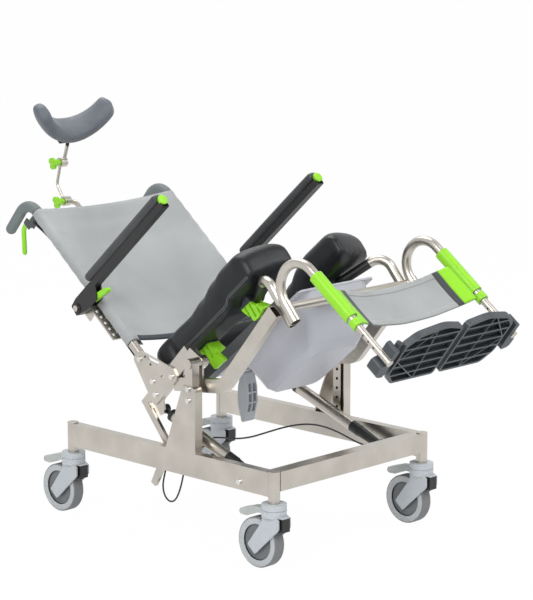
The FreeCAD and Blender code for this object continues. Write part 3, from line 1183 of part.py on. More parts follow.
def footplate(side, sign):
    """Folding plate with a bowed front edge, ribs and braces below, and two hinge knuckles."""
    inner, outer = mm("foot_inner"), mm("foot_hinge_half") - 8.5
    rear, front, rib = mm("foot_rear"), mm("foot_front"), 5
    name = f"footplate_{side}"

    def edge(inset, ease):
        """Corners of the plate's outline, drawn in by an inset."""
        far, low, high = outer - inset, rear + inset, front - inset
        near = inner + inset
        corners = [(low, near, 10), (high - 13, near, 12), (high + 2, 80, 120),
                   (high - 14, 166 - inset, 50), (44 - inset, far, 14), (-50, far, 24), (low, 165 - inset, 24)]
        return [(x, sign * y, size * ease) for x, y, size in corners]

    slab = plate(f"{name}_slab", edge(0, 1), "foot_thick", plane="XY_Plane")
    place(slab, z="-foot_hinge_drop - foot_thick")
    hollow = plate(f"{name}_hollow", edge(6.5, 0.6), "foot_thick - 4", plane="XY_Plane")
    place(hollow, z="-foot_hinge_drop - foot_thick - 1")
    low = inward(sign, str(inner), str(outer - inner))
    ribs = [box(f"{name}_rib_{k}", str(rib), str(outer - inner), "foot_thick",
                str(rear + (front - rear) * k / 6 - rib / 2), low, "-foot_hinge_drop - foot_thick - 1")
            for k in range(1, 6)]
    hip, brow, sole = (-6, outer - 4), (front - 4, 104), (rear + 4, 84)
    for i, (start, end) in enumerate(((hip, brow), (hip, sole), (brow, sole))):
        run = Vector(end[0] - start[0], sign * (end[1] - start[1]), 0)
        brace = box(f"{name}_brace_{i}", str(run.Length), "3", "foot_thick")
        place(brace, str(start[0]), str(sign * start[1]), "-foot_hinge_drop - foot_thick - 1",
              str(math.degrees(math.atan2(run.y, run.x))), (0, 0, 1))
        ribs.append(brace)
    ribbed = cut(f"{name}_ribbed", slab, cut(f"{name}_pockets", hollow, *ribs))
    knuckles, bores = [], []
    for i, x in enumerate((-40, 20)):
        hinge = f"{sign} * foot_hinge_half"
        knuckles.append(rod(f"{name}_knuckle_{i}", "8", "23", str(x), hinge, "-foot_hinge_drop", "X"))
        knuckles.append(box(f"{name}_web_{i}", "23", "26", "8", str(x),
                            inward(sign, "foot_hinge_half - 26", "26"), "-foot_hinge_drop - 8"))
        bores.append(rod(f"{name}_bore_{i}", "foot_pin + running_gap", "25", str(x - 1), hinge,
                         "-foot_hinge_drop", "X"))
    solid = fuse(f"{name}_weld", [ribbed, *knuckles])
    node(name, on_leg(cut(f"{name}_bored", solid, *bores)))


# Gas springs: their frame starts at a pin and runs along the spring

SPRING_X = "(pivot_ahead + spring_pin_ahead * cos(tilt) - spring_pin_up * sin(tilt))"
SPRING_Z = "(pivot_height + spring_pin_ahead * sin(tilt) + spring_pin_up * cos(tilt))"
SPRING_LEAN = f"atan2({SPRING_X} - anchor_ahead; {SPRING_Z} - anchor_height)"


def spring_barrel(side, sign):
    """Barrel that swings on the base's pin, with a black tapered foot and a top cap."""
    y, wide = sign * mm("spring_half"), mm("eye_width")
    radius, top = mm("spring_radius"), mm("spring_top")
    knuckle = Part.makeCylinder(mm("eye_radius"), wide, Vector(0, y - wide / 2, 0), Vector(0, 1, 0))
    foot = Part.makeCone(mm("eye_radius") - 2, radius - 1, 70, Vector(0, y, 0))
    body = Part.makeCylinder(radius, top - 70, Vector(0, y, 70))
    cap = Part.makeCylinder(radius + 1, 14, Vector(0, y, top))
    bore = Part.makeCylinder(mm("spring_bore"), top, Vector(0, y, 45))
    pin = Part.makeCylinder(mm("anchor_radius") + mm("running_gap"), wide + 2,
                            Vector(0, y - wide / 2 - 1, 0), Vector(0, 1, 0))
    shape = knuckle.fuse([foot, body, cap]).cut([bore, pin])
    barrel = feature(f"spring_barrel_{side}", shape)
    place(barrel, "frame_x + anchor_ahead", "0", "anchor_height", SPRING_LEAN, (0, 1, 0))
    node(f"spring_barrel_{side}", barrel)


def spring_rod(side, sign):
    """Rod that hangs from the seat's pin and slides in the barrel."""
    y, wide = sign * mm("spring_half"), mm("eye_width")
    knuckle = Part.makeCylinder(mm("eye_radius"), wide, Vector(0, y - wide / 2, 0), Vector(0, 1, 0))
    bar = Part.makeCylinder(mm("rod_radius"), mm("rod_length"), Vector(0, y, -mm("rod_length")))
    pin = Part.makeCylinder(mm("anchor_radius") + mm("running_gap"), wide + 2,
                            Vector(0, y - wide / 2 - 1, 0), Vector(0, 1, 0))
    stem = feature(f"spring_rod_{side}", knuckle.fuse(bar).cut(pin))
    place(stem, f"frame_x + {SPRING_X}", "0", SPRING_Z, SPRING_LEAN, (0, 1, 0))
    node(f"spring_rod_{side}", stem)


# Free cables on the base, from the uprights: points are X ahead of the base's middle, Y and Z

LOOP = ((73, -259.5, 276), (58, -249, 268), (38, -246, 256), (12, -242, 242), (-18, -237, 222),
        (-40, -236, 192), (-52, -238, 155), (-58, -240, 122), (-50, -240, 97), (-30, -241, 86),
        (-9, -241, 95), (8, -241, 128), (20, -242, 166), (32, -244, 206), (46, -247, 232), (62, -250, 247),
        (77, -259.5, 254))
CROSS = ((72, -257.5, 222), (70, -246, 226), (67, -225, 238), (64, -192, 260), (64, -150, 253),
         (67, -107, 242), (78, -64, 240), (89, -21, 246), (112, 21, 257), (138, 64, 263), (158, 107, 256),
         (180, 150, 235), (200, 192, 206), (212, 222, 190), (217, 242, 187), (218, 257.5, 190))


def base_cables():
    """The slack of a release cable below the right rail, and a cable across to the left spring."""
    for name, points in (("loop_cable", LOOP), ("cross_cable", CROSS)):
        shape = cable_route([Vector(*point) for point in points])
        node(name, place(feature(name, shape), "frame_x"))


for side, sign in SIDES:
    base_side(side, sign)
front_crossbar()
towers()
uprights()
frame_bolts()
casters()
seat_sides()
seat_hoop()
seat_cushion()
seat_clips()
pan_guides()
commode_pan()
pan_handle()
tip_pedal()
back_brackets()
seat_bolts()
back_tubes()
back_sling()
headrest_crossbar()
release_lever()
lever_cables()
headrest()
arm_brackets()
hangers()
calf_sleeves()
calf_strap()
for side, sign in SIDES:
    arm_bar(side, sign)
    arm_pad(side, sign)
    arm_lock(side, sign)
    foot_tube(side, sign)
    footplate(side, sign)
    spring_barrel(side, sign)
    spring_rod(side, sign)
base_cables()

doc.recompute()
faults = [thing.Name for thing in doc.Objects if {"Invalid", "Error"} & set(thing.State)]
faults += [thing.Label for thing in nodes if thing.Shape.isNull() or not thing.Shape.isValid()]
if faults:
    raise RuntimeError(f"failed: {faults}")
os.makedirs("parts", exist_ok=True)
for thing in nodes:
    thing.Shape.exportStep(f"parts/{thing.Label}.step")
    print(thing.Label, len(thing.Shape.Solids), round(thing.Shape.Volume / 1000, 1))
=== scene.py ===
# %% [markdown]
# # A tilting shower commode chair
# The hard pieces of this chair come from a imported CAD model, where each sits at the world origin
# with its place held in its mesh. This lesson dresses that model: it keeps the tubes and plates,
# gives each a finish, and builds the soft pieces and the cables anew around them.

import math

import bmesh
import bpy
from mathutils import Matrix, Vector
from mathutils.bvhtree import BVHTree


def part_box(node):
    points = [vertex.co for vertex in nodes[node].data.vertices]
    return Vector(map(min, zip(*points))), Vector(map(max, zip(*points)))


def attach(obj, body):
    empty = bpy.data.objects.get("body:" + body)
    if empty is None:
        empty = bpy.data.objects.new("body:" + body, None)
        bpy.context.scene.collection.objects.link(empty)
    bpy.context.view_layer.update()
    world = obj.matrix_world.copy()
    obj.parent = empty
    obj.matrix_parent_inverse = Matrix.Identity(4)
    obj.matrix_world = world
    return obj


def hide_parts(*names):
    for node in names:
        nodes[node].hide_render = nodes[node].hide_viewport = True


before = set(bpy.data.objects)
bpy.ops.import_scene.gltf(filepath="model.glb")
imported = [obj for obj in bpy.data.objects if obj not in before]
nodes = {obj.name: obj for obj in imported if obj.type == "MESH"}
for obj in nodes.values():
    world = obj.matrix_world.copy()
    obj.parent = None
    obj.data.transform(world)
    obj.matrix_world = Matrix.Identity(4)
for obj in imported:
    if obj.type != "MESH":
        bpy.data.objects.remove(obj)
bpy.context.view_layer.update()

# %% [markdown]
# ## Frames of reference
# The seat, back, arms and legs all lie at angles. A point could be worked out in world numbers each
# time, but it is easier to draw each piece level, in its own frame, and carry it over with one
# matrix. Each matrix below is a shift followed by a turn about the chair's width.

# %% Matrices of the tilted parts
TILT, RECLINE, LEG_RAKE, ARM_RISE = 40, 10.5, 13, 2
PIVOT_AHEAD, PIVOT_UP = 0.0737, 0.463
BACK_AHEAD, BACK_UP = -0.170, 0.075
ARM_AHEAD, ARM_UP = -0.033, 0.257
HOOK_RADIUS, HOOK_AHEAD, HOOK_UP = 0.061, 0.326, -0.037


def frame_at(parent, x, z, turn):
    """A frame shifted in its parent and tipped back by some degrees."""
    return parent @ Matrix.Translation((x, 0, z)) @ Matrix.Rotation(math.radians(-turn), 4, "Y")


chair = Matrix.Identity(4)
seat = frame_at(chair, PIVOT_AHEAD, PIVOT_UP, TILT)
back = frame_at(seat, BACK_AHEAD, BACK_UP, RECLINE)
arm = frame_at(back, ARM_AHEAD, ARM_UP, ARM_RISE - RECLINE)
rake = math.radians(LEG_RAKE)
leg = frame_at(seat, HOOK_AHEAD + HOOK_RADIUS * (1 + math.cos(rake)),
               HOOK_UP + HOOK_RADIUS * math.sin(rake), LEG_RAKE)
print("back tube foot at", [round(v, 3) for v in back.translation])

# %% [markdown]
# ## Camera
# The photograph was taken from the chair's right front, a little above the seat, with a long lens.
# A camera could be placed by eye. Here it stands on the line that was solved from the floor points
# of the four wheels, so edges in the render fall close to where the photograph has them.

# %% Place the camera
AZIMUTH, ELEVATION, STAND_OFF = math.radians(44.08), math.radians(10.78), 6.05654
AIM = Vector((0.0670, 0, 0.58285))
# The sensor is in millimetres. The photograph and its focal length are in pixels.
SENSOR_HEIGHT, PHOTO_HEIGHT, FOCAL_LENGTH = 36, 600, 2412.05
level_reach = math.cos(ELEVATION)
away = Vector((math.sin(AZIMUTH) * level_reach, -math.cos(AZIMUTH) * level_reach, math.sin(ELEVATION)))
lens = bpy.data.cameras.new("photo_camera")
lens.sensor_fit = "VERTICAL"
lens.sensor_height = SENSOR_HEIGHT
lens.lens = FOCAL_LENGTH * SENSOR_HEIGHT / PHOTO_HEIGHT
camera = bpy.data.objects.new("photo_camera", lens)
camera.location = AIM + away * STAND_OFF
camera.rotation_euler = away.to_track_quat("Z", "Y").to_euler()
bpy.context.collection.objects.link(camera)
bpy.context.scene.camera = camera
print("camera at", [round(v, 3) for v in camera.location])

# %% [markdown]
# ## Floor, light and background
# The photograph has a plain white ground. A very bright lamp would bleach the chair as well, so the
# floor and the world are white only to the rays that see them, straight or mirrored in metal. The
# mirrored sky dims towards its top, which keeps some shape in the tubes. The lamps stay at a level
# where a colour looks as it was mixed, and three big soft ones give the tubes long highlights.

# %% Shader arithmetic
def feed(tree, sockets, given):
    """Link each socket that is given another socket, and set each that is given a value."""
    for socket, value in zip(sockets, given):
        if isinstance(value, bpy.types.NodeSocket):
            tree.links.new(value, socket)
        else:
            socket.default_value = value


def reckon(tree, operation, first, second):
    """One step of arithmetic between two sockets, or a socket and a number."""
    made = tree.nodes.new("ShaderNodeMath")
    made.operation = operation
    feed(tree, made.inputs, (first, second))
    return made.outputs[0]


def seen_directly(tree):
    """One for camera, glossy and transmission rays, and nought for the rays that carry light."""
    path = tree.nodes.new("ShaderNodeLightPath")
    found = path.outputs["Is Camera Ray"]
    for kind in ("Is Glossy Ray", "Is Transmission Ray"):
        found = reckon(tree, "MAXIMUM", found, path.outputs[kind])
    return found


print("shader arithmetic ready")

# %% White world
SKY_TINT, SKY_LIGHT, SKY_FALL = (0.95, 0.97, 1.0, 1), 0.42, 0.45
scene = bpy.context.scene
scene.view_settings.view_transform = "Standard"
world = bpy.data.worlds.new("studio")
scene.world = world
world.use_nodes = True
sky = world.node_tree
sky.nodes.clear()
soft = sky.nodes.new("ShaderNodeBackground")
soft.inputs["Color"].default_value = SKY_TINT
soft.inputs["Strength"].default_value = SKY_LIGHT
plain = sky.nodes.new("ShaderNodeBackground")
plain.inputs["Color"].default_value = (1, 1, 1, 1)
way = sky.nodes.new("ShaderNodeTexCoord")
rise = sky.nodes.new("ShaderNodeSeparateXYZ")
sky.links.new(way.outputs["Generated"], rise.inputs[0])
dimmed = reckon(sky, "SUBTRACT", 1.0, reckon(sky, "MULTIPLY", rise.outputs["Z"], SKY_FALL))
eye = sky.nodes.new("ShaderNodeLightPath").outputs["Is Camera Ray"]
sky.links.new(reckon(sky, "MAXIMUM", dimmed, eye), plain.inputs["Strength"])
pick = sky.nodes.new("ShaderNodeMixShader")
feed(sky, pick.inputs, (seen_directly(sky), soft.outputs[0], plain.outputs[0]))
sky.links.new(pick.outputs[0], sky.nodes.new("ShaderNodeOutputWorld").inputs["Surface"])
print("world ready")

# %% White floor
FLOOR_SIZE, FLOOR_DROP = 40, 0.0005
PAPER_COLOUR, PAPER_GLOW = (0.93, 0.93, 0.93, 1), 0.985
bpy.ops.mesh.primitive_grid_add(x_subdivisions=2, y_subdivisions=2, size=FLOOR_SIZE,
                                location=(0, 0, -FLOOR_DROP))
floor = bpy.context.object
floor.name = "studio_floor"
paper = bpy.data.materials.new("studio_paper")
paper.use_nodes = True
tree = paper.node_tree
tree.nodes.clear()
matte = tree.nodes.new("ShaderNodeBsdfDiffuse")
matte.inputs["Color"].default_value = PAPER_COLOUR
glow = tree.nodes.new("ShaderNodeEmission")
both = tree.nodes.new("ShaderNodeMixShader")
share_of_glow = reckon(tree, "MULTIPLY", seen_directly(tree), PAPER_GLOW)
feed(tree, both.inputs, (share_of_glow, matte.outputs[0], glow.outputs[0]))
tree.links.new(both.outputs[0], tree.nodes.new("ShaderNodeOutputMaterial").inputs["Surface"])
floor.data.materials.append(paper)
print("floor ready")

# %% Three soft lamps
CHAIR_MIDDLE = Vector((0, 0, 0.5))


def soft_lamp(name, place, size, power):
    """A square lamp that faces the chair's middle."""
    light = bpy.data.lights.new(name, "AREA")
    light.size = size
    light.energy = power
    lamp = bpy.data.objects.new(name, light)
    lamp.location = place
    lamp.rotation_euler = (lamp.location - CHAIR_MIDDLE).to_track_quat("Z", "Y").to_euler()
    bpy.context.collection.objects.link(lamp)


soft_lamp("key_lamp", (1.6, -3.2, 3.0), size=2.2, power=95)
soft_lamp("fill_lamp", (2.3, 1.0, 3.1), size=2.2, power=50)
soft_lamp("top_lamp", (-1.6, 0.6, 3.6), size=2.4, power=60)
print("lamps ready")

# %% [markdown]
# ## Tools for finishes
# Every finish is a Principled shader. What is the same all over goes straight on its sockets. What
# changes over the surface, such as grain, pebbling or handling marks, comes from noise in object
# space, which stays on the piece when it moves. One helper makes the shader, and others add a drift
# of colour, an uneven gloss and a fine relief.

# %% Finish helpers
def finish(name, colour, rough, metal=0.0, spec=0.5):
    """A new Principled material with its even values set."""
    material = bpy.data.materials.new(name)
    material.use_nodes = True
    shader = material.node_tree.nodes["Principled BSDF"]
    shader.inputs["Base Color"].default_value = (*colour, 1)
    shader.inputs["Roughness"].default_value = rough
    shader.inputs["Metallic"].default_value = metal
    shader.inputs["Specular IOR Level"].default_value = spec
    return material, material.node_tree, shader


def noise(tree, scale, detail):
    """Noise in object space, in cycles per metre."""
    place = tree.nodes.new("ShaderNodeTexCoord")
    grain = tree.nodes.new("ShaderNodeTexNoise")
    grain.inputs["Scale"].default_value = scale
    grain.inputs["Detail"].default_value = detail
    tree.links.new(place.outputs["Object"], grain.inputs["Vector"])
    return grain.outputs["Fac"]


def ramp(tree, value, stops, hard=False):
    """A colour ramp from (position, colour) stops."""
    made = tree.nodes.new("ShaderNodeValToRGB")
    made.color_ramp.interpolation = "CONSTANT" if hard else "LINEAR"
    marks = made.color_ramp.elements
    while len(marks) < len(stops):
        marks.new(0.5)
    for mark, (position, colour) in zip(marks, stops):
        mark.position = position
        mark.color = (*colour, 1)
    tree.links.new(value, made.inputs["Fac"])
    return made.outputs["Color"]


def span(tree, value, low, high, to_low, to_high):
    """A value carried from one range to another."""
    made = tree.nodes.new("ShaderNodeMapRange")
    feed(tree, made.inputs, (value, low, high, to_low, to_high))
    return made.outputs[0]


def shade(colour, factor):
    """A colour made darker or lighter."""
    return tuple(min(1, part * factor) for part in colour)


def drift(tree, shader, value, colour, dark, light, edge):
    """A base colour that drifts between a darker and a lighter shade of itself."""
    stops = ((edge, shade(colour, dark)), (1 - edge, shade(colour, light)))
    tree.links.new(ramp(tree, value, stops), shader.inputs["Base Color"])


def uneven_gloss(tree, shader, value, low, high, edge):
    """A roughness that follows a grain between two limits."""
    tree.links.new(span(tree, value, edge, 1 - edge, low, high), shader.inputs["Roughness"])


def relief(tree, shader, height, strength, depth):
    """Fine relief on a surface, with its depth in metres."""
    made = tree.nodes.new("ShaderNodeBump")
    made.inputs["Strength"].default_value = strength
    made.inputs["Distance"].default_value = depth
    tree.links.new(height, made.inputs["Height"])
    tree.links.new(made.outputs[0], shader.inputs["Normal"])


print("helpers ready")

# %% [markdown]
# ## Satin steel
# The frame is blasted stainless steel: a warm grey with a soft sheen, no mirror. Very fine noise in
# the roughness gives the blasted grain, a large slow noise gives handling marks, and a shallow bump
# breaks the highlight as it runs along a tube.

# %% Steel and bolts
STEEL = (0.56, 0.525, 0.475)


def steel_finish(name, colour, rough):
    """Blasted steel with fine grain and slow handling marks."""
    material, tree, shader = finish(name, colour, rough, metal=1.0)
    drift(tree, shader, noise(tree, scale=14, detail=3), colour, dark=0.9, light=1.08, edge=0.3)
    fine = noise(tree, scale=900, detail=2)
    uneven_gloss(tree, shader, fine, rough - 0.05, rough + 0.07, edge=0.25)
    relief(tree, shader, fine, strength=0.12, depth=0.0004)
    return material


satin_steel = steel_finish("satin_steel", STEEL, rough=0.30)
bright_steel = steel_finish("bright_bolt", (0.74, 0.73, 0.71), rough=0.2)
print("steel ready")

# %% [markdown]
# ## Moulded plastics
# The clips, levers and sleeves are bright lime plastic, and the casters are a pale blue-grey one.
# Moulded plastic has an even colour with a faint orange-peel skin, so the helper adds a low bump and
# a slight change of gloss, and leaves the colour nearly flat.

# %% Plastics
def plastic_finish(name, colour, rough, peel=0.18, scale=260):
    """Moulded plastic with a faint orange-peel skin."""
    material, tree, shader = finish(name, colour, rough)
    drift(tree, shader, noise(tree, scale=9, detail=2), colour, dark=0.93, light=1.05, edge=0.25)
    orange_peel = noise(tree, scale, detail=2)
    uneven_gloss(tree, shader, orange_peel, rough - 0.05, rough + 0.06, edge=0.3)
    relief(tree, shader, orange_peel, strength=peel, depth=0.0006)
    return material


LIME, BLACK, SLATE = (0.30, 0.72, 0.02), (0.012, 0.012, 0.013), (0.052, 0.060, 0.068)
CASTER_GREY = (0.52, 0.55, 0.58)
lime_plastic = plastic_finish("lime_plastic", LIME, rough=0.32)
caster_plastic = plastic_finish("caster_plastic", CASTER_GREY, rough=0.42)
tab_plastic = plastic_finish("tab_plastic", (0.47, 0.50, 0.48), rough=0.42)
slate_plastic = plastic_finish("slate_plastic", SLATE, rough=0.42, peel=0.3)
black_plastic = plastic_finish("black_plastic", BLACK, rough=0.38)
dark_plastic = plastic_finish("dark_grey_plastic", (0.06, 0.065, 0.07), rough=0.45)
grip_rubber = plastic_finish("grip_rubber", (0.17, 0.195, 0.195), rough=0.62, peel=0.35, scale=500)
cable_sheath = plastic_finish("cable_sheath", BLACK, rough=0.4, peel=0.1)
pan_plastic = plastic_finish("pan_plastic", (0.50, 0.51, 0.56), rough=0.34, peel=0.02, scale=90)
print("plastics ready")

# %% [markdown]
# ## Skins and cloth
# The cushion, arm pads and headrest are foam moulded with its own soft skin: dark, matte, with a fine
# pebbled grain and a little sheen at grazing angles. The back and calf slings are coated cloth with a
# plain weave. The weave is two sets of waves, so it needs no picture.

# %% Foam skin and sling cloth
WEAVE_SHADE = 0.14


def skin_finish(name, colour, rough, spec=0.4, sheen=0.15):
    """Skinned foam: fine pebble grain, slow colour drift and a little sheen."""
    material, tree, shader = finish(name, colour, rough, spec=spec)
    shader.inputs["Sheen Weight"].default_value = sheen
    shader.inputs["Sheen Roughness"].default_value = 0.4
    drift(tree, shader, noise(tree, scale=11, detail=3), colour, dark=0.82, light=1.2, edge=0.3)
    pebble = noise(tree, scale=420, detail=3)
    uneven_gloss(tree, shader, pebble, rough - 0.06, rough + 0.1, edge=0.3)
    relief(tree, shader, pebble, strength=0.25, depth=0.0007)
    return material


def cloth_finish(name, colour, to_frame, threads=420):
    """Plain weave in the plane of a sling, given the frame that the sling hangs in."""
    material, tree, shader = finish(name, colour, rough=0.72, spec=0.3)
    shader.inputs["Sheen Weight"].default_value = 0.2
    place = tree.nodes.new("ShaderNodeTexCoord")
    level = tree.nodes.new("ShaderNodeMapping")
    level.vector_type = "TEXTURE"
    level.inputs["Rotation"].default_value = to_frame.to_euler()
    tree.links.new(place.outputs["Object"], level.inputs["Vector"])
    waves = []
    for direction in ("Y", "Z"):
        wave = tree.nodes.new("ShaderNodeTexWave")
        wave.bands_direction = direction
        wave.inputs["Scale"].default_value = threads
        wave.inputs["Distortion"].default_value = 0.6
        tree.links.new(level.outputs[0], wave.inputs["Vector"])
        waves.append(wave.outputs["Fac"])
    weave = reckon(tree, "MULTIPLY", *waves)
    fine = span(tree, weave, 0, 1, -WEAVE_SHADE, WEAVE_SHADE)
    mixed = reckon(tree, "ADD", noise(tree, scale=6, detail=3), fine)
    drift(tree, shader, mixed, colour, dark=0.86, light=1.1, edge=0.25)
    relief(tree, shader, weave, strength=0.25, depth=0.0005)
    return material


foam_skin = skin_finish("foam_skin", (0.011, 0.012, 0.014), rough=0.34, spec=0.3, sheen=0.06)
arm_skin = skin_finish("arm_skin", (0.050, 0.052, 0.056), rough=0.45)
seam_skin = skin_finish("seam_skin", (0.075, 0.082, 0.085), rough=0.45)
head_skin = skin_finish("head_skin", (0.127, 0.141, 0.162), rough=0.5)
sling_cloth = cloth_finish("sling_cloth", (0.40, 0.415, 0.415), back)
strap_cloth = cloth_finish("strap_cloth", (0.40, 0.41, 0.41), leg, threads=240)
lime_cloth = cloth_finish("lime_cloth", LIME, leg)
band_cloth = cloth_finish("band_cloth", (0.055, 0.06, 0.065), leg)
hem_tape = skin_finish("hem_tape", (0.035, 0.045, 0.055), rough=0.5)
print("soft finishes ready")

# %% [markdown]
# ## Finishes that change along a piece
# A caster wheel is one moulding with rings of different greys, and the groove between its hub and its
# light ring is painted near black as shade. A gas spring is a bright tube with a black foot. The CAD
# solid of each is one piece, so its colour is chosen by distance: from the axle line for a wheel, and
# along the tube for a spring. Other pieces have a block or an end of another material, such as the
# black block on a caster's fork, and theirs is chosen by a box of limits. All are measured on the
# piece itself.

# %% Distances on a piece
def vector_step(tree, operation, *given):
    """One step of vector arithmetic, which gives a vector or a number."""
    made = tree.nodes.new("ShaderNodeVectorMath")
    made.operation = operation
    feed(tree, made.inputs, given)
    return next(socket for socket in made.outputs if socket.enabled)


def split(tree, origin, axis):
    """Distance along an axis of length one from a point, and distance out from that axis."""
    place = tree.nodes.new("ShaderNodeTexCoord").outputs["Object"]
    offset = vector_step(tree, "SUBTRACT", place, origin)
    along = vector_step(tree, "DOT_PRODUCT", offset, axis)
    beside = vector_step(tree, "CROSS_PRODUCT", offset, axis)
    return along, vector_step(tree, "LENGTH", beside)


def by_distance(tree, shader, distance, longest, marks, colours, roughs, metals=()):
    """Colour, roughness and perhaps metal that change at marks along a distance in metres."""
    share = span(tree, distance, 0, longest, 0, 1)
    stops = [mark / longest for mark in marks]
    tree.links.new(ramp(tree, share, list(zip(stops, colours)), True), shader.inputs["Base Color"])
    for socket, values in (("Roughness", roughs), ("Metallic", metals)):
        if values:
            greys = [(stop, (value,) * 3) for stop, value in zip(stops, values)]
            tree.links.new(ramp(tree, share, greys, True), shader.inputs[socket])


print("distances ready")

# %% Ringed wheels and banded springs
AXLE_END, HUB_EDGE, SHADED_GROOVE_EDGE, RING_EDGE, WHEEL_REACH = 0.0065, 0.043, 0.0445, 0.0592, 0.07
FOOT_END, CAP_START, SPRING_REACH = 0.098, 0.296, 0.4


def wheel_finish(name, centre, axle):
    """Axle end, hub disc, groove of painted shade, light ring and grey tread, by distance from the axle.
    """
    material, tree, shader = finish(name, (0.2, 0.2, 0.2), rough=0.45)
    away_from_axle = split(tree, centre, axle)[1]
    marks = (0, AXLE_END, HUB_EDGE, SHADED_GROOVE_EDGE, RING_EDGE)
    # The third colour, near black, is painted shade in the groove between the hub disc and the light ring.
    colours = ((0.5, 0.5, 0.5), (0.165, 0.175, 0.18), (0.02, 0.02, 0.02),
               (0.50, 0.52, 0.53), (0.20, 0.205, 0.21))
    roughs = (0.25, 0.5, 0.5, 0.4, 0.62)
    by_distance(tree, shader, away_from_axle, WHEEL_REACH, marks, colours, roughs)
    relief(tree, shader, noise(tree, scale=300, detail=2), strength=0.2, depth=0.0005)
    return material


def spring_finish(name, foot, axis):
    """Bright tube with a black foot and a black top cap."""
    material, tree, shader = finish(name, STEEL, rough=0.32, metal=1.0)
    up_the_tube = split(tree, foot, axis)[0]
    by_distance(tree, shader, up_the_tube, SPRING_REACH, (0, FOOT_END, CAP_START),
                colours=(BLACK, STEEL, BLACK), roughs=(0.4, 0.33, 0.4), metals=(0, 1, 0))
    relief(tree, shader, noise(tree, scale=700, detail=2), strength=0.1, depth=0.0004)
    return material


print("rings and bands ready")

# %% Boxes of another material
def zone(tree, tests):
    """One where every test of (frame, axis, low, high) holds.

    Where no axis is given, the test is on the distance out from the frame's Z line.
    """
    held = 1.0
    for where, axis, low, high in tests:
        along, out = split(tree, where.translation, where.col[2 if axis is None else axis].to_3d())
        value = out if axis is None else along
        for operation, limit in (("GREATER_THAN", low), ("LESS_THAN", high)):
            held = reckon(tree, "MULTIPLY", held, reckon(tree, operation, value, limit))
    return held


def two_zones(name, first, second, tests):
    """One (colour, roughness, metal) all over a piece, and another inside a zone of it."""
    material, tree, shader = finish(name, first[0], first[1])
    mask = zone(tree, tests)
    stops = ((0, first[0]), (0.5, second[0]))
    tree.links.new(ramp(tree, mask, stops, True), shader.inputs["Base Color"])
    for socket, i in (("Roughness", 1), ("Metallic", 2)):
        tree.links.new(span(tree, mask, 0, 1, first[i], second[i]), shader.inputs[socket])
    relief(tree, shader, noise(tree, scale=500, detail=2), strength=0.12, depth=0.0004)
    return material


print("zoned finishes ready")

# %% [markdown]
# ## Paint the hard pieces
# The CAD solids of the metal and moulded pieces already have the right shape, so they stay and only
# take a finish. A list of name starts picks the finish, and each piece of more than one material gets
# one of its own.

# %% Pick a finish by name
FINISH_BY_NAME = (
    ("frame_bolts", bright_steel), ("seat_bolts", bright_steel), ("release_lever", lime_plastic),
    ("arm_lock", lime_plastic), ("headrest_knobs", lime_plastic), ("calf_sleeves", lime_plastic),
    ("pan_guides", dark_plastic), ("lever_housing", dark_plastic), ("push_grips", grip_rubber),
    ("arm_bar", black_plastic), ("footplate", slate_plastic), ("commode_pan", pan_plastic),
    ("pan_handle", caster_plastic), ("brake_pedal", tab_plastic), ("lever_cables", cable_sheath))


def finish_for(name):
    """The finish of a CAD piece, by the start of its name."""
    for start, material in FINISH_BY_NAME:
        if name.startswith(start):
            return material
    return satin_steel


print("finishes by name", len(FINISH_BY_NAME))

# %% Give every CAD piece its finish
# Each of these five is a colour, a roughness and a share of metal.
METAL, LIME_SHINE, DULL = (STEEL, 0.30, 1.0), (LIME, 0.32, 0.0), (BLACK, 0.4, 0.0)
SLATE_SHINE, CASTER_SHINE = (SLATE, 0.42, 0.0), (CASTER_GREY, 0.42, 0.0)
FAR = 9.0
AXLE = (0, 1, 0)
POST_AHEAD, POST_HALF = {"front": 0.3537, "rear": -0.3663}, 0.270
BLOCK_AHEAD, BLOCK_HALF, BLOCK_TOP = 0.0139, 0.0135, 0.1335
SPRING_HALF, EYE_LENGTH = 0.226, 0.03
SPRING_FOOT_AHEAD, SPRING_FOOT_UP = 0.2487, 0.200
SPRING_HEAD_AHEAD, SPRING_HEAD_UP = -0.0697, 0.318
LEG_HALF, PLATE_ARM_TOP, FOOT_TUBE_RADIUS = 0.2265, -0.267, 0.0099
HOLDER_AHEAD = 0.012
HOOP_AHEAD, HOOP_UP, CLIP_PAD_UP = 0.1, 0.038, 0.0505


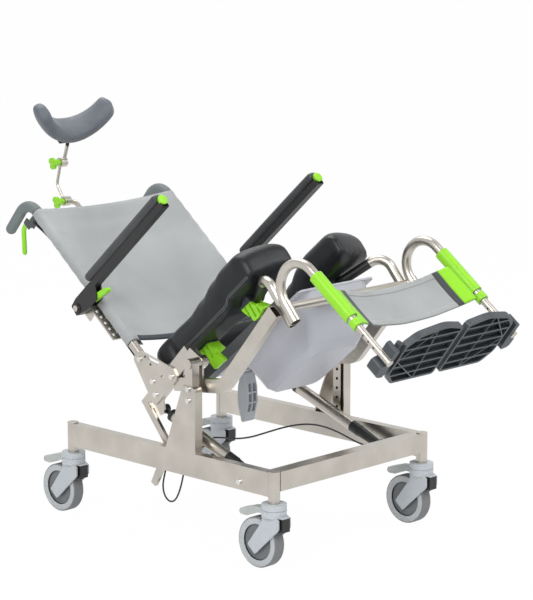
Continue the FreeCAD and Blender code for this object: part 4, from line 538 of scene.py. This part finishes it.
def zoned_finish(name):
    """The finish of a piece that is made of more than one material, or nothing."""
    kind, _, spot = name.rpartition("_")
    sign = 1 if spot == "left" else -1
    label = f"{name}_zones"
    if name.startswith("caster_wheel"):
        middle = [(low + high) / 2 for low, high in zip(*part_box(name))]
        return wheel_finish(f"{name}_rings", middle, AXLE)
    if name.startswith("caster_fork"):
        post = Matrix.Translation((POST_AHEAD[kind.split("_")[2]], sign * POST_HALF, 0))
        block = ((post, 0, BLOCK_AHEAD, FAR), (post, 1, -BLOCK_HALF, BLOCK_HALF),
                 (post, 2, -FAR, BLOCK_TOP))
        return two_zones(label, CASTER_SHINE, DULL, block)
    if kind in ("spring_barrel", "spring_rod"):
        foot = Vector((SPRING_FOOT_AHEAD, sign * SPRING_HALF, SPRING_FOOT_UP))
        head = Vector((SPRING_HEAD_AHEAD, sign * SPRING_HALF, SPRING_HEAD_UP))
        axis = (head - foot).normalized()
        if kind == "spring_barrel":
            return spring_finish(f"{name}_bands", foot, axis)
        eye = Matrix.Translation(head) @ axis.to_track_quat("Z", "Y").to_matrix().to_4x4()
        return two_zones(label, METAL, DULL, ((eye, 2, -EYE_LENGTH, FAR),))
    if kind == "foot_tube":
        tube = leg @ Matrix.Translation((0, sign * LEG_HALF, 0))
        plate_arm = ((tube, 2, -FAR, PLATE_ARM_TOP), (tube, None, FOOT_TUBE_RADIUS, FAR))
        return two_zones(label, METAL, SLATE_SHINE, plate_arm)
    if name == "headrest_holder":
        return two_zones(label, METAL, DULL, ((back, 0, HOLDER_AHEAD, FAR),))
    if name == "seat_hoop":
        return two_zones(label, METAL, DULL, ((seat, 0, HOOP_AHEAD, FAR), (seat, 2, HOOP_UP, FAR)))
    if name == "seat_clips":
        return two_zones(label, LIME_SHINE, SLATE_SHINE, ((seat, 2, CLIP_PAD_UP, FAR),))
    return None


for name, piece in nodes.items():
    material = zoned_finish(name) or finish_for(name)
    piece.data.materials.clear()
    piece.data.materials.append(material)
print("finishes on", len(nodes), "pieces")

# %% [markdown]
# ## Cables
# Two thin black cables hang free on the base: a slack loop below the right rail and one that crosses to
# the left spring. A cable could be a row of cylinders, but it would kink. A NURBS curve through a few
# control points bends the way a stiff cable does, and a round bevel gives it its thickness.

# %% Draw the free cables
BASE_SHIFT = -0.0063
LOOP = (
    (0.073, -0.2595, 0.276), (0.058, -0.249, 0.268), (0.038, -0.246, 0.256), (0.012, -0.242, 0.242),
    (-0.018, -0.237, 0.222), (-0.040, -0.236, 0.192), (-0.052, -0.238, 0.155), (-0.058, -0.240, 0.122),
    (-0.050, -0.240, 0.097), (-0.030, -0.241, 0.086), (-0.009, -0.241, 0.095), (0.008, -0.241, 0.128),
    (0.020, -0.242, 0.166), (0.032, -0.244, 0.206), (0.046, -0.247, 0.232), (0.062, -0.250, 0.247),
    (0.077, -0.2595, 0.254))
CROSS = (
    (0.072, -0.2575, 0.222), (0.070, -0.246, 0.226), (0.067, -0.225, 0.238), (0.064, -0.192, 0.260),
    (0.064, -0.150, 0.253), (0.067, -0.107, 0.242), (0.078, -0.064, 0.240), (0.089, -0.021, 0.246),
    (0.112, 0.021, 0.257), (0.138, 0.064, 0.263), (0.158, 0.107, 0.256), (0.180, 0.150, 0.235),
    (0.200, 0.192, 0.206), (0.212, 0.222, 0.190), (0.217, 0.242, 0.187), (0.218, 0.2575, 0.190))
LOOP_LENGTH, CROSS_LENGTH, CABLE_RADIUS = 0.474, 0.577, 0.0022


def cable(name, points):
    """A free cable along control points."""
    curve = bpy.data.curves.new(name, "CURVE")
    curve.dimensions = "3D"
    line = curve.splines.new("NURBS")
    line.points.add(len(points) - 1)
    for point, (x, y, z) in zip(line.points, points):
        point.co = (x + BASE_SHIFT, y, z, 1)
    line.order_u = 3
    line.use_endpoint_u = True
    line.resolution_u = 8
    curve.bevel_depth = CABLE_RADIUS
    curve.bevel_resolution = 4
    curve.use_fill_caps = True
    curve.materials.append(cable_sheath)
    piece = bpy.data.objects.new(name, curve)
    bpy.context.collection.objects.link(piece)
    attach(piece, "base")
    x, y, z = points[0]
    return piece


loop = cable("slack_loop", LOOP)
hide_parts("loop_cable")
crossing = cable("crossing_cable", CROSS)
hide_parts("cross_cable")
print("cables drawn")

# %% [markdown]
# ## Tools for soft pieces
# A padded piece is a skin round a path: a ring of points at each station, joined ring to ring. One
# helper joins the rings, and one swells a closed skin with a short cloth simulation, with a cap on how
# far a point may move so that the pad keeps its size. The small ones bake, relax and shade a mesh.

# %% Soft helpers
SWELL_FRAMES, SKIN_STRETCH, SKIN_BEND = 12, 40, 8


def even_steps(start, end, count):
    """Values from start to end, parted by an even step."""
    return [start + (end - start) * k / count for k in range(count + 1)]


def carried(rows, where):
    """Rings of points carried from a level frame to their place on the chair."""
    return [[where @ point for point in row] for row in rows]


def skin(name, rings, material, ends=True, around=True):
    """A mesh through rings of points, closed round each ring and over both ends if asked."""
    mesh = bmesh.new()
    rows = [[mesh.verts.new(point) for point in ring] for ring in rings]
    count = len(rows[0])
    for near, far in zip(rows, rows[1:]):
        for i in range(count if around else count - 1):
            j = (i + 1) % count
            mesh.faces.new((near[i], near[j], far[j], far[i]))
    if ends:
        mesh.faces.new(reversed(rows[0]))
        mesh.faces.new(rows[-1])
    bmesh.ops.recalc_face_normals(mesh, faces=mesh.faces)
    data = bpy.data.meshes.new(name)
    mesh.to_mesh(data)
    mesh.free()
    piece = bpy.data.objects.new(name, data)
    bpy.context.collection.objects.link(piece)
    all_smooth(piece, material)
    return piece


def all_smooth(piece, material):
    """Smooth shading and one finish."""
    piece.data.materials.clear()
    piece.data.materials.append(material)
    for face in piece.data.polygons:
        face.use_smooth = True


def apply_modifiers(piece):
    """Bake a piece's modifiers into its mesh."""
    baked = bpy.data.meshes.new_from_object(piece.evaluated_get(bpy.context.evaluated_depsgraph_get()))
    piece.modifiers.clear()
    piece.data = baked


def swell(piece, voxel, pressure, cap):
    """Blow a closed skin up a little with cloth, moving no point further than the cap."""
    fine = piece.modifiers.new("even_mesh", "REMESH")
    fine.mode = "VOXEL"
    fine.voxel_size = voxel
    apply_modifiers(piece)
    start = [vertex.co.copy() for vertex in piece.data.vertices]
    cloth = piece.modifiers.new("swell", "CLOTH")
    cloth.settings.use_pressure = True
    cloth.settings.uniform_pressure_force = pressure
    cloth.settings.effector_weights.gravity = 0
    cloth.settings.tension_stiffness = SKIN_STRETCH
    cloth.settings.compression_stiffness = SKIN_STRETCH
    cloth.settings.bending_stiffness = SKIN_BEND
    for step in range(1, SWELL_FRAMES + 1):
        scene.frame_set(step)
    apply_modifiers(piece)
    for vertex, was in zip(piece.data.vertices, start):
        move = vertex.co - was
        if move.length > cap:
            vertex.co = was + move * (cap / move.length)
    scene.frame_set(1)


def relaxed(piece, times):
    """Smooth out a mesh's small bumps."""
    relax = piece.modifiers.new("relax", "SMOOTH")
    relax.iterations = times
    relax.factor = 0.5
    apply_modifiers(piece)


print("soft helpers ready")

# %% [markdown]
# ## Seat cushion
# The cushion is a horseshoe of moulded foam. Its arms rise to two broad noses with flat fronts, and its
# edges are well rounded. A box with bevels could not follow the bend, so rounded sections are set along
# the horseshoe, from one nose round the back to the other, and the skin is then swelled a little.

# %% Section of the cushion
CUSHION_OUTER, CUSHION_INNER, NOSE_INNER = 0.225, 0.100, 0.076
CUSHION_REAR, CUSHION_FRONT, CUSHION_BEND = -0.184, 0.280, 0.075
TOP_MARKS = ((-0.172, 0.1235), (0.005, 0.1245), (0.066, 0.1365), (0.128, 0.151), (0.177, 0.158),
             (0.274, 0.1595))
LOW_MARKS = ((-0.172, 0.0545), (0.140, 0.0545), (0.168, 0.0695), (0.274, 0.0715))
NARROW_START, NARROW_RUN = 0.005, 0.172
NOSE_ROUND, SIDE_DRAW, TOP_DRAW, LOW_DRAW = 0.040, 0.45, 0.9, 0.35
SWELL = 0.0025


def eased(share):
    """A smooth step from 0 to 1."""
    share = min(1, max(0, share))
    return share * share * (3 - 2 * share)


def between(marks, share):
    """A smooth value between (share, value) marks."""
    for (a, low), (b, high) in zip(marks, marks[1:]):
        if share <= b:
            return low + (high - low) * eased((share - a) / (b - a))
    return marks[-1][1]


def rounded(points, times=2):
    """A closed outline with its corners cut, then cut again."""
    for _ in range(times):
        ends = list(zip(points, points[1:] + points[:1]))
        points = [a.lerp(b, share) for a, b in ends for share in (0.25, 0.75)]
    return points


def cushion_outline(x):
    """Section of an arm as points of (width, height): outer wall, crown, inner wall, underside."""
    narrow = eased((x - NARROW_START) / NARROW_RUN)
    inner = CUSHION_INNER + (NOSE_INNER - CUSHION_INNER) * narrow
    top, low = between(TOP_MARKS, x), between(LOW_MARKS, x)
    near = max(0, 1 - (CUSHION_FRONT - x) / NOSE_ROUND)
    draw = NOSE_ROUND * (1 - math.sqrt(1 - near * near))
    outer, inner = CUSHION_OUTER - SWELL - SIDE_DRAW * draw, inner + SWELL + SIDE_DRAW * draw
    top, low = top - SWELL - TOP_DRAW * draw, low + SWELL + LOW_DRAW * draw
    middle, tall = (outer + inner) / 2, top - low
    corners = (
        (outer, low + 0.14 * tall), (outer, top - 0.5 * tall), (outer - 0.002, top - 0.16 * tall),
        (outer - 0.022, top - 0.01 * tall), (middle + 0.02, top + 0.003), (middle - 0.02, top + 0.003),
        (inner + 0.022, top - 0.02 * tall), (inner + 0.002, top - 0.18 * tall),
        (inner, top - 0.5 * tall), (inner, low + 0.2 * tall), (inner + 0.003, low + 0.05 * tall),
        (inner + 0.016, low), (middle, low), (outer - 0.016, low),
        (outer - 0.005, low + 0.01 * tall), (outer - 0.001, low + 0.05 * tall))
    return rounded([Vector(corner) for corner in corners])


print("cushion section of", len(cushion_outline(0)), "points")

# %% Sections along the horseshoe
NOSE_STEPS = (0, 0.0008, 0.003, 0.007, 0.012, 0.018, 0.025, 0.033, 0.042)
ARM_STEPS, BEND_STEPS = 22, 14
NOSE_SLANT, SLANT_START, SLANT_RUN = 0.020, 0.17, 0.1
REAR_CORNER = 0.055


def arm_rings(bend_start):
    """Sections of one arm, from its nose to the start of the bend, in the seat's frame."""
    ahead = [CUSHION_FRONT - step for step in NOSE_STEPS]
    ahead += even_steps(ahead[-1], bend_start, ARM_STEPS)[1:]
    nose_half = (CUSHION_OUTER - NOSE_INNER) / 2
    rows = []
    for x in ahead:
        slant = NOSE_SLANT / nose_half * eased((x - SLANT_START) / SLANT_RUN)
        rows.append([Vector((x + slant * (CUSHION_OUTER - nose_half - y), y, z))
                     for y, z in cushion_outline(x)])
    return rows


def bend_rings(bend_start):
    """Sections round one half of the bend, with the outer corner drawn out squarer."""
    middle, half = (CUSHION_OUTER + CUSHION_INNER) / 2, (CUSHION_OUTER - CUSHION_INNER) / 2
    hub = Vector((bend_start, middle - CUSHION_BEND, 0))
    hole, reach = CUSHION_BEND - half, CUSHION_BEND + half
    square = reach - REAR_CORNER
    rows = []
    for turn in even_steps(0, math.pi / 2, BEND_STEPS)[1:]:
        a, b = math.sin(turn), math.cos(turn)
        across = Vector((-a, b, 0))
        corner = REAR_CORNER ** 2 - square ** 2 * (a - b) ** 2
        edge = square * (a + b) + math.sqrt(corner) if corner > 0 else reach
        edge = min(edge, reach / max(a, b))
        stretch = (edge - hole) / (reach - hole)
        rows.append([hub + across * (hole + (y - middle + half) * stretch) + Vector((0, 0, z))
                     for y, z in cushion_outline(bend_start)])
    return rows


bend_from = CUSHION_REAR + (CUSHION_OUTER - CUSHION_INNER) / 2 + CUSHION_BEND
rings = arm_rings(bend_from) + bend_rings(bend_from)
mirrored = [[Vector((p.x, -p.y, p.z)) for p in ring] for ring in rings]
horseshoe = rings + mirrored[::-1]
print("cushion sections", len(horseshoe))

# %% Swell the cushion
cushion = skin("seat_cushion_pad", carried(horseshoe, seat), foam_skin)
swell(cushion, voxel=0.005, pressure=4, cap=SWELL + 0.0015)
relaxed(cushion, 4)
finer = cushion.modifiers.new("finer", "SUBSURF")
finer.levels = finer.render_levels = 1
apply_modifiers(cushion)
all_smooth(cushion, foam_skin)
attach(cushion, "seat")
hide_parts("seat_cushion")
print("cushion faces", len(cushion.data.polygons))

# %% [markdown]
# ## Cushion seams
# Two fine raised lines run round the cushion, low on its outer wall. They could be cut into the skin,
# but the swelled mesh has no edges that follow them. So a thin bead is drawn for each, through points
# of the sections that are first moved to the nearest place on the finished skin.

# %% Seam lines on the cushion
SEAM_SPOTS, SEAM_RADIUS, SEAM_LIFT, SEAM_END = (58, 61), 0.0013, 0.0002, 4
SEAT_UP = (seat.to_3x3() @ Vector((0, 0, 1))).normalized()


def on_surface(piece, points, lift):
    """Points moved to the nearest place on a mesh and lifted off it."""
    corners = [vertex.co for vertex in piece.data.vertices]
    tree = BVHTree.FromPolygons(corners, [face.vertices for face in piece.data.polygons])
    moved = []
    for point in points:
        spot, normal = tree.find_nearest(point)[:2]
        moved.append(spot + normal * lift)
    return moved


def turns(count):
    """Angles at even steps round a circle."""
    return [2 * math.pi * i / count for i in range(count)]


def bead(name, points, radius, material, sides=10):
    """A round bead along a line of points, closed at both ends."""
    rows = []
    for before, point, after in zip(points[:1] + points, points, points[1:] + points[-1:]):
        along = (after - before).normalized()
        across = along.cross(SEAT_UP).normalized()
        up = across.cross(along)
        rows.append([point + (across * math.cos(t) + up * math.sin(t)) * radius for t in turns(sides)])
    return skin(name, rows, material)


for number, spot in enumerate(SEAM_SPOTS):
    path = [seat @ ring[spot] for ring in horseshoe[SEAM_END:-SEAM_END]]
    line = on_surface(cushion, path, SEAM_LIFT)
    seam = bead(f"cushion_seam_{number}", line, SEAM_RADIUS, seam_skin)
    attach(seam, "seat")
print("cushion seams of", len(line), "points")

# %% [markdown]
# ## Arm pads
# Each arm is a black bar with a long foam pad on it and a bright cap on its end. The pad is the same
# kind of rounded skin as the cushion, on a straight path, with its ends drawn in. The cap is a small
# domed disc that is turned from a profile, because it is a plug pressed into a round hole.

# %% Sections of the arm pads
PAD_START, PAD_END, PAD_LOW, PAD_HIGH = 0.078, 0.432, 0.0225, 0.0475
PAD_MIDDLE, PAD_WIDTH = 0.277, 0.037
PAD_ROUND, PAD_DRAW, PAD_INSET = 0.03, 0.011, 0.0008
END_SHARES = (0, 0.004, 0.012, 0.024, 0.04)
PAD_SHARES = (*END_SHARES, *even_steps(0, 1, 10)[1:-1], *(1 - share for share in reversed(END_SHARES)))


def power(value, exponent):
    """A signed power, for rounded sections."""
    return math.copysign(abs(value) ** exponent, value)


def padded_ring(middle, across, up, width, height, count, top, low, side):
    """A closed section of a pad. A larger power makes its top, underside or walls rounder."""
    ring = []
    for turn in turns(count):
        round_up = top if math.sin(turn) > 0 else low
        ring.append(middle + across * (width / 2 * power(math.cos(turn), side))
                    + up * (height / 2 * power(math.sin(turn), round_up)))
    return ring


def arm_pad_rings(sign):
    """Sections along one arm pad, drawn in at both ends."""
    rows = []
    for share in PAD_SHARES:
        near = max(0, 1 - min(share, 1 - share) / PAD_ROUND)
        trim = PAD_DRAW * (1 - math.sqrt(max(0, 1 - near * near))) + PAD_INSET
        ahead = PAD_START + (PAD_END - PAD_START) * share
        spot = Vector((ahead, sign * PAD_MIDDLE, (PAD_LOW + PAD_HIGH) / 2))
        rows.append(padded_ring(spot, Vector((0, 1, 0)), Vector((0, 0, 1)), PAD_WIDTH - 2 * trim,
                                PAD_HIGH - PAD_LOW - 2 * trim, count=28, top=0.75, low=0.4, side=0.55))
    return rows


print("arm pad sections", len(PAD_SHARES))

# %% Arm pads and their end caps
CAP_AHEAD, CAP_UP = 0.430, 0.0235
CAP_PROFILE = ((0, 0.0125), (0.0065, 0.0135), (0.0082, 0.0128), (0.0092, 0.0105), (0.0096, 0.006),
               (0.0097, 0.002))
SIDES = (("left", 1), ("right", -1))


def turned(name, profile, where, material, sides=32):
    """A solid turned about the X axis of a frame from (along, radius) points."""
    rows = []
    for along, radius in profile:
        rows.append([where @ Vector((along, radius * math.cos(t), radius * math.sin(t)))
                     for t in turns(sides)])
    return skin(name, rows, material)


for side, sign in SIDES:
    pad = skin(f"arm_pad_skin_{side}", carried(arm_pad_rings(sign), arm), arm_skin)
    swell(pad, voxel=0.004, pressure=3, cap=0.0015)
    relaxed(pad, 3)
    all_smooth(pad, arm_skin)
    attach(pad, f"arm_{side}")
    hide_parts(f"arm_pad_{side}")
    place = arm @ Matrix.Translation((CAP_AHEAD, sign * PAD_MIDDLE, CAP_UP))
    cap = turned(f"arm_end_cap_{side}", CAP_PROFILE, place, lime_plastic)
    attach(cap, f"arm_{side}")
print("arm pads done")

# %% [markdown]
# ## Headrest pad
# The headrest is a curved roll of foam that is thickest in the middle and sweeps forward at both ends.
# A torus would have the same thickness all round, so sections of changing size are set along an arc.

# %% Headrest pad
HEAD_HALF, HEAD_DEPTH, HEAD_BACK, HEAD_UP, HEAD_LIFT = 0.121, 0.080, 0.050, 0.785, 0.018
HEAD_THICK, HEAD_TALL, HEAD_INSET, HEAD_STEPS = 0.046, 0.084, 0.004, 40
THICK_TAPER, TALL_TAPER = 0.12, 0.2
TIP_SHARE, TIP_LEAST, TIP_THICK = 0.13, 0.03, 0.35


def head_rings():
    """Sections along the roll's arc, from its right end to its left."""
    radius = (HEAD_HALF ** 2 + HEAD_DEPTH ** 2) / (2 * HEAD_DEPTH)
    half_turn = math.asin(HEAD_HALF / radius)
    rows = []
    for share in even_steps(-1, 1, HEAD_STEPS):
        near = max(0, 1 - (1 - abs(share)) / TIP_SHARE)
        grow = math.sqrt(max(TIP_LEAST, 1 - near * near))
        tip = TIP_THICK + (1 - TIP_THICK) * grow
        turn = half_turn * share
        inward = Vector((math.cos(turn), -math.sin(turn), 0))
        tall = HEAD_TALL * (1 - TALL_TAPER * abs(share)) * grow - HEAD_INSET
        thick = HEAD_THICK * (1 - THICK_TAPER * abs(share)) * tip - HEAD_INSET
        centre = Vector((HEAD_BACK + radius, 0, HEAD_UP + HEAD_LIFT * share * share))
        rows.append(padded_ring(centre - inward * radius, Vector((0, 0, 1)), inward, tall, thick,
                                count=32, top=0.8, low=0.7, side=0.75))
    return rows


head_pad = skin("headrest_roll", carried(head_rings(), back), head_skin)
swell(head_pad, voxel=0.004, pressure=4, cap=0.003)
relaxed(head_pad, 4)
all_smooth(head_pad, head_skin)
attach(head_pad, "head")
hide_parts("headrest_pad")
print("headrest faces", len(head_pad.data.polygons))

# %% [markdown]
# ## Back sling
# The sling is one piece of coated cloth. It is folded round each back tube, sewn to itself behind, and
# sags between the tubes. Its shape is known, so it is drawn as a strip of points at each height: flap,
# sleeve, panel, sleeve, flap. A slight ripple near the seams shows that it is cloth under tension, and
# a dark tape is folded over its lower edge.

# %% Strips of the sling
BACK_HALF, SLEEVE, SLING_LOW, SLING_HIGH, SLING_SAG = 0.233, 0.0148, 0.095, 0.558, 0.030
DEPTH_MARKS = ((0, 0.45), (0.15, 0.75), (0.32, 1), (0.52, 1.05), (0.72, 0.85), (0.88, 0.45), (1, 0.12))
SLEEVE_TOUCH = 0.97
RIPPLE, RIPPLES_UP, RIPPLES_ACROSS, RIPPLE_REACH = 0.0009, 95, 9, 0.12
WAVE, WAVES_UP, WAVES_ACROSS = 0.0012, 14, 5
PUCKER, PUCKERS_UP = 0.0006, 70
FLAP_WIDTHS = (-0.187, -0.196, -0.206, -0.215, -0.222)
FLAP_GAP, FLAP_BEHIND, FLAP_LEAN = 0.0035, 0.006, 0.2
SLEEVE_FROM, SLEEVE_TO, SLEEVE_STEPS = 205, -5, 14
PANEL_HALF, PANEL_STEPS = 0.226, 44


def sling_height(share):
    """The height of a share of the sling."""
    return SLING_LOW + (SLING_HIGH - SLING_LOW) * share


def panel_depth(y, share):
    """How far ahead of the tubes' plane the panel is at a width and a share of its height."""
    inside = 1 - abs(y) / BACK_HALF
    sag = -SLING_SAG * between(DEPTH_MARKS, share)
    ripple = RIPPLE * math.sin(RIPPLES_UP * share + RIPPLES_ACROSS * y) * math.exp(-inside / RIPPLE_REACH)
    wave = WAVE * math.sin(WAVES_UP * share + WAVES_ACROSS * y) * inside
    return SLEEVE * SLEEVE_TOUCH + (sag - SLEEVE) * (1 - (1 - inside) ** 2) + ripple + wave


def sling_row(share):
    """One strip of the sling: right flap, right sleeve, panel, left sleeve and left flap."""
    right = []
    for y in FLAP_WIDTHS:
        behind = -FLAP_BEHIND - (BACK_HALF + y) * FLAP_LEAN
        right.append((min(panel_depth(y, share) - FLAP_GAP, behind), y))
    for degrees in even_steps(SLEEVE_FROM, SLEEVE_TO, SLEEVE_STEPS):
        turn = math.radians(degrees)
        pucker = SLEEVE + PUCKER * math.sin(PUCKERS_UP * share + 2 * turn)
        right.append((pucker * math.cos(turn), -BACK_HALF - pucker * math.sin(turn)))
    panel = [(panel_depth(y, share), y) for y in even_steps(-PANEL_HALF, PANEL_HALF, PANEL_STEPS)]
    left = [(x, -y) for x, y in reversed(right)]
    return [Vector((x, y, sling_height(share))) for x, y in right + panel + left]


SLING_STEPS = 56
sling_rows = [sling_row(share) for share in even_steps(0, 1, SLING_STEPS)]
print("sling strips", len(sling_rows), "of", len(sling_rows[0]), "points")

# %% Sling between the back tubes
SLING_THICK, TAPE_THICK = 0.0016, 0.0034
TAPE_SHARES, TAPE_HALF = (-0.003, 0.008, 0.016, 0.024, 0.030), 0.214


def cloth_piece(name, rows, where, material, thick):
    """A sheet through strips of points, given a thickness."""
    piece = skin(name, carried(rows, where), material, ends=False, around=False)
    body = piece.modifiers.new("thickness", "SOLIDIFY")
    body.thickness = thick
    body.offset = 0
    apply_modifiers(piece)
    all_smooth(piece, material)
    return piece


def tape_row(share):
    """One strip of the tape over the panel's lower edge, which is drawn thicker than the cloth."""
    return [Vector((panel_depth(y, share), y, sling_height(share)))
            for y in even_steps(-TAPE_HALF, TAPE_HALF, PANEL_STEPS)]


sling = cloth_piece("back_sling_cloth", sling_rows, back, sling_cloth, SLING_THICK)
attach(sling, "seat")
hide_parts("back_sling")
tape_rows = [tape_row(share) for share in TAPE_SHARES]
low_tape = cloth_piece("sling_low_tape", tape_rows, back, hem_tape, TAPE_THICK)
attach(low_tape, "seat")

# %% [markdown]
# ## Calf strap
# The strap is a broad band that hangs between the two leg tubes and holds the calves. It is hemmed along
# both long edges, and each end has a lime tail with a dark band beside it. It sags in one even curve, so
# a parabola is enough. The hems, tails and bands are strips of the same curve, made thicker.

# %% Calf strap with its hems
STRAP_LOW, STRAP_HIGH, STRAP_SAG, STRAP_BELLY = -0.178, -0.065, 0.042, 0.06
STRAP_RIPPLE, STRAP_RIPPLES_UP, STRAP_RIPPLES_ACROSS = 0.0006, 4, 60
CALF_SLEEVE = 0.0165
STRAP_END = LEG_HALF - CALF_SLEEVE
STRAP_THICK, HEM_THICK, HEM_SHARE = 0.0018, 0.0034, 0.14


def strap_depth(y, share):
    """Where the strap is, ahead of the tubes' plane or behind it, at a width and a share of its height."""
    inside = 1 - (y / STRAP_END) ** 2
    belly = 1 - STRAP_BELLY + STRAP_BELLY * math.sin(math.pi * share)
    ripple = STRAP_RIPPLE * math.sin(STRAP_RIPPLES_ACROSS * y + STRAP_RIPPLES_UP * share)
    return -STRAP_SAG * belly * inside + ripple


def strap_rows(shares, start=-STRAP_END, end=STRAP_END, count=50):
    """Strips of the strap at some shares of its height, over all or part of its width."""
    rows = []
    for share in shares:
        z = STRAP_LOW + (STRAP_HIGH - STRAP_LOW) * share
        rows.append([Vector((strap_depth(y, share), y, z)) for y in even_steps(start, end, count)])
    return rows


STRAP_SHARES = even_steps(0, 1, 20)
strap_lines = strap_rows(STRAP_SHARES)
strap = cloth_piece("calf_strap_cloth", strap_lines, leg, strap_cloth, STRAP_THICK)
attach(strap, "legs")
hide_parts("calf_strap")
for name, start, end in (("upper", 1 - HEM_SHARE, 1.0), ("lower", 0.0, HEM_SHARE)):
    rows = strap_rows(even_steps(start, end, 5))
    hem = cloth_piece(f"calf_strap_hem_{name}", rows, leg, strap_cloth, HEM_THICK)
    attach(hem, "legs")
print("strap and hems done")

# %% Tails and bands of the calf strap
TAIL, BAND, TAIL_THICK = 0.035, 0.018, 0.0040
ENDS = (("tail", STRAP_END, TAIL, lime_cloth), ("band", STRAP_END - TAIL, BAND, band_cloth))
for side, sign in SIDES:
    for name, outer, wide, material in ENDS:
        rows = strap_rows(STRAP_SHARES, sign * outer, sign * (outer - wide), 6)
        end_piece = cloth_piece(f"calf_strap_{name}_{side}", rows, leg, material, TAIL_THICK)
        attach(end_piece, "legs")
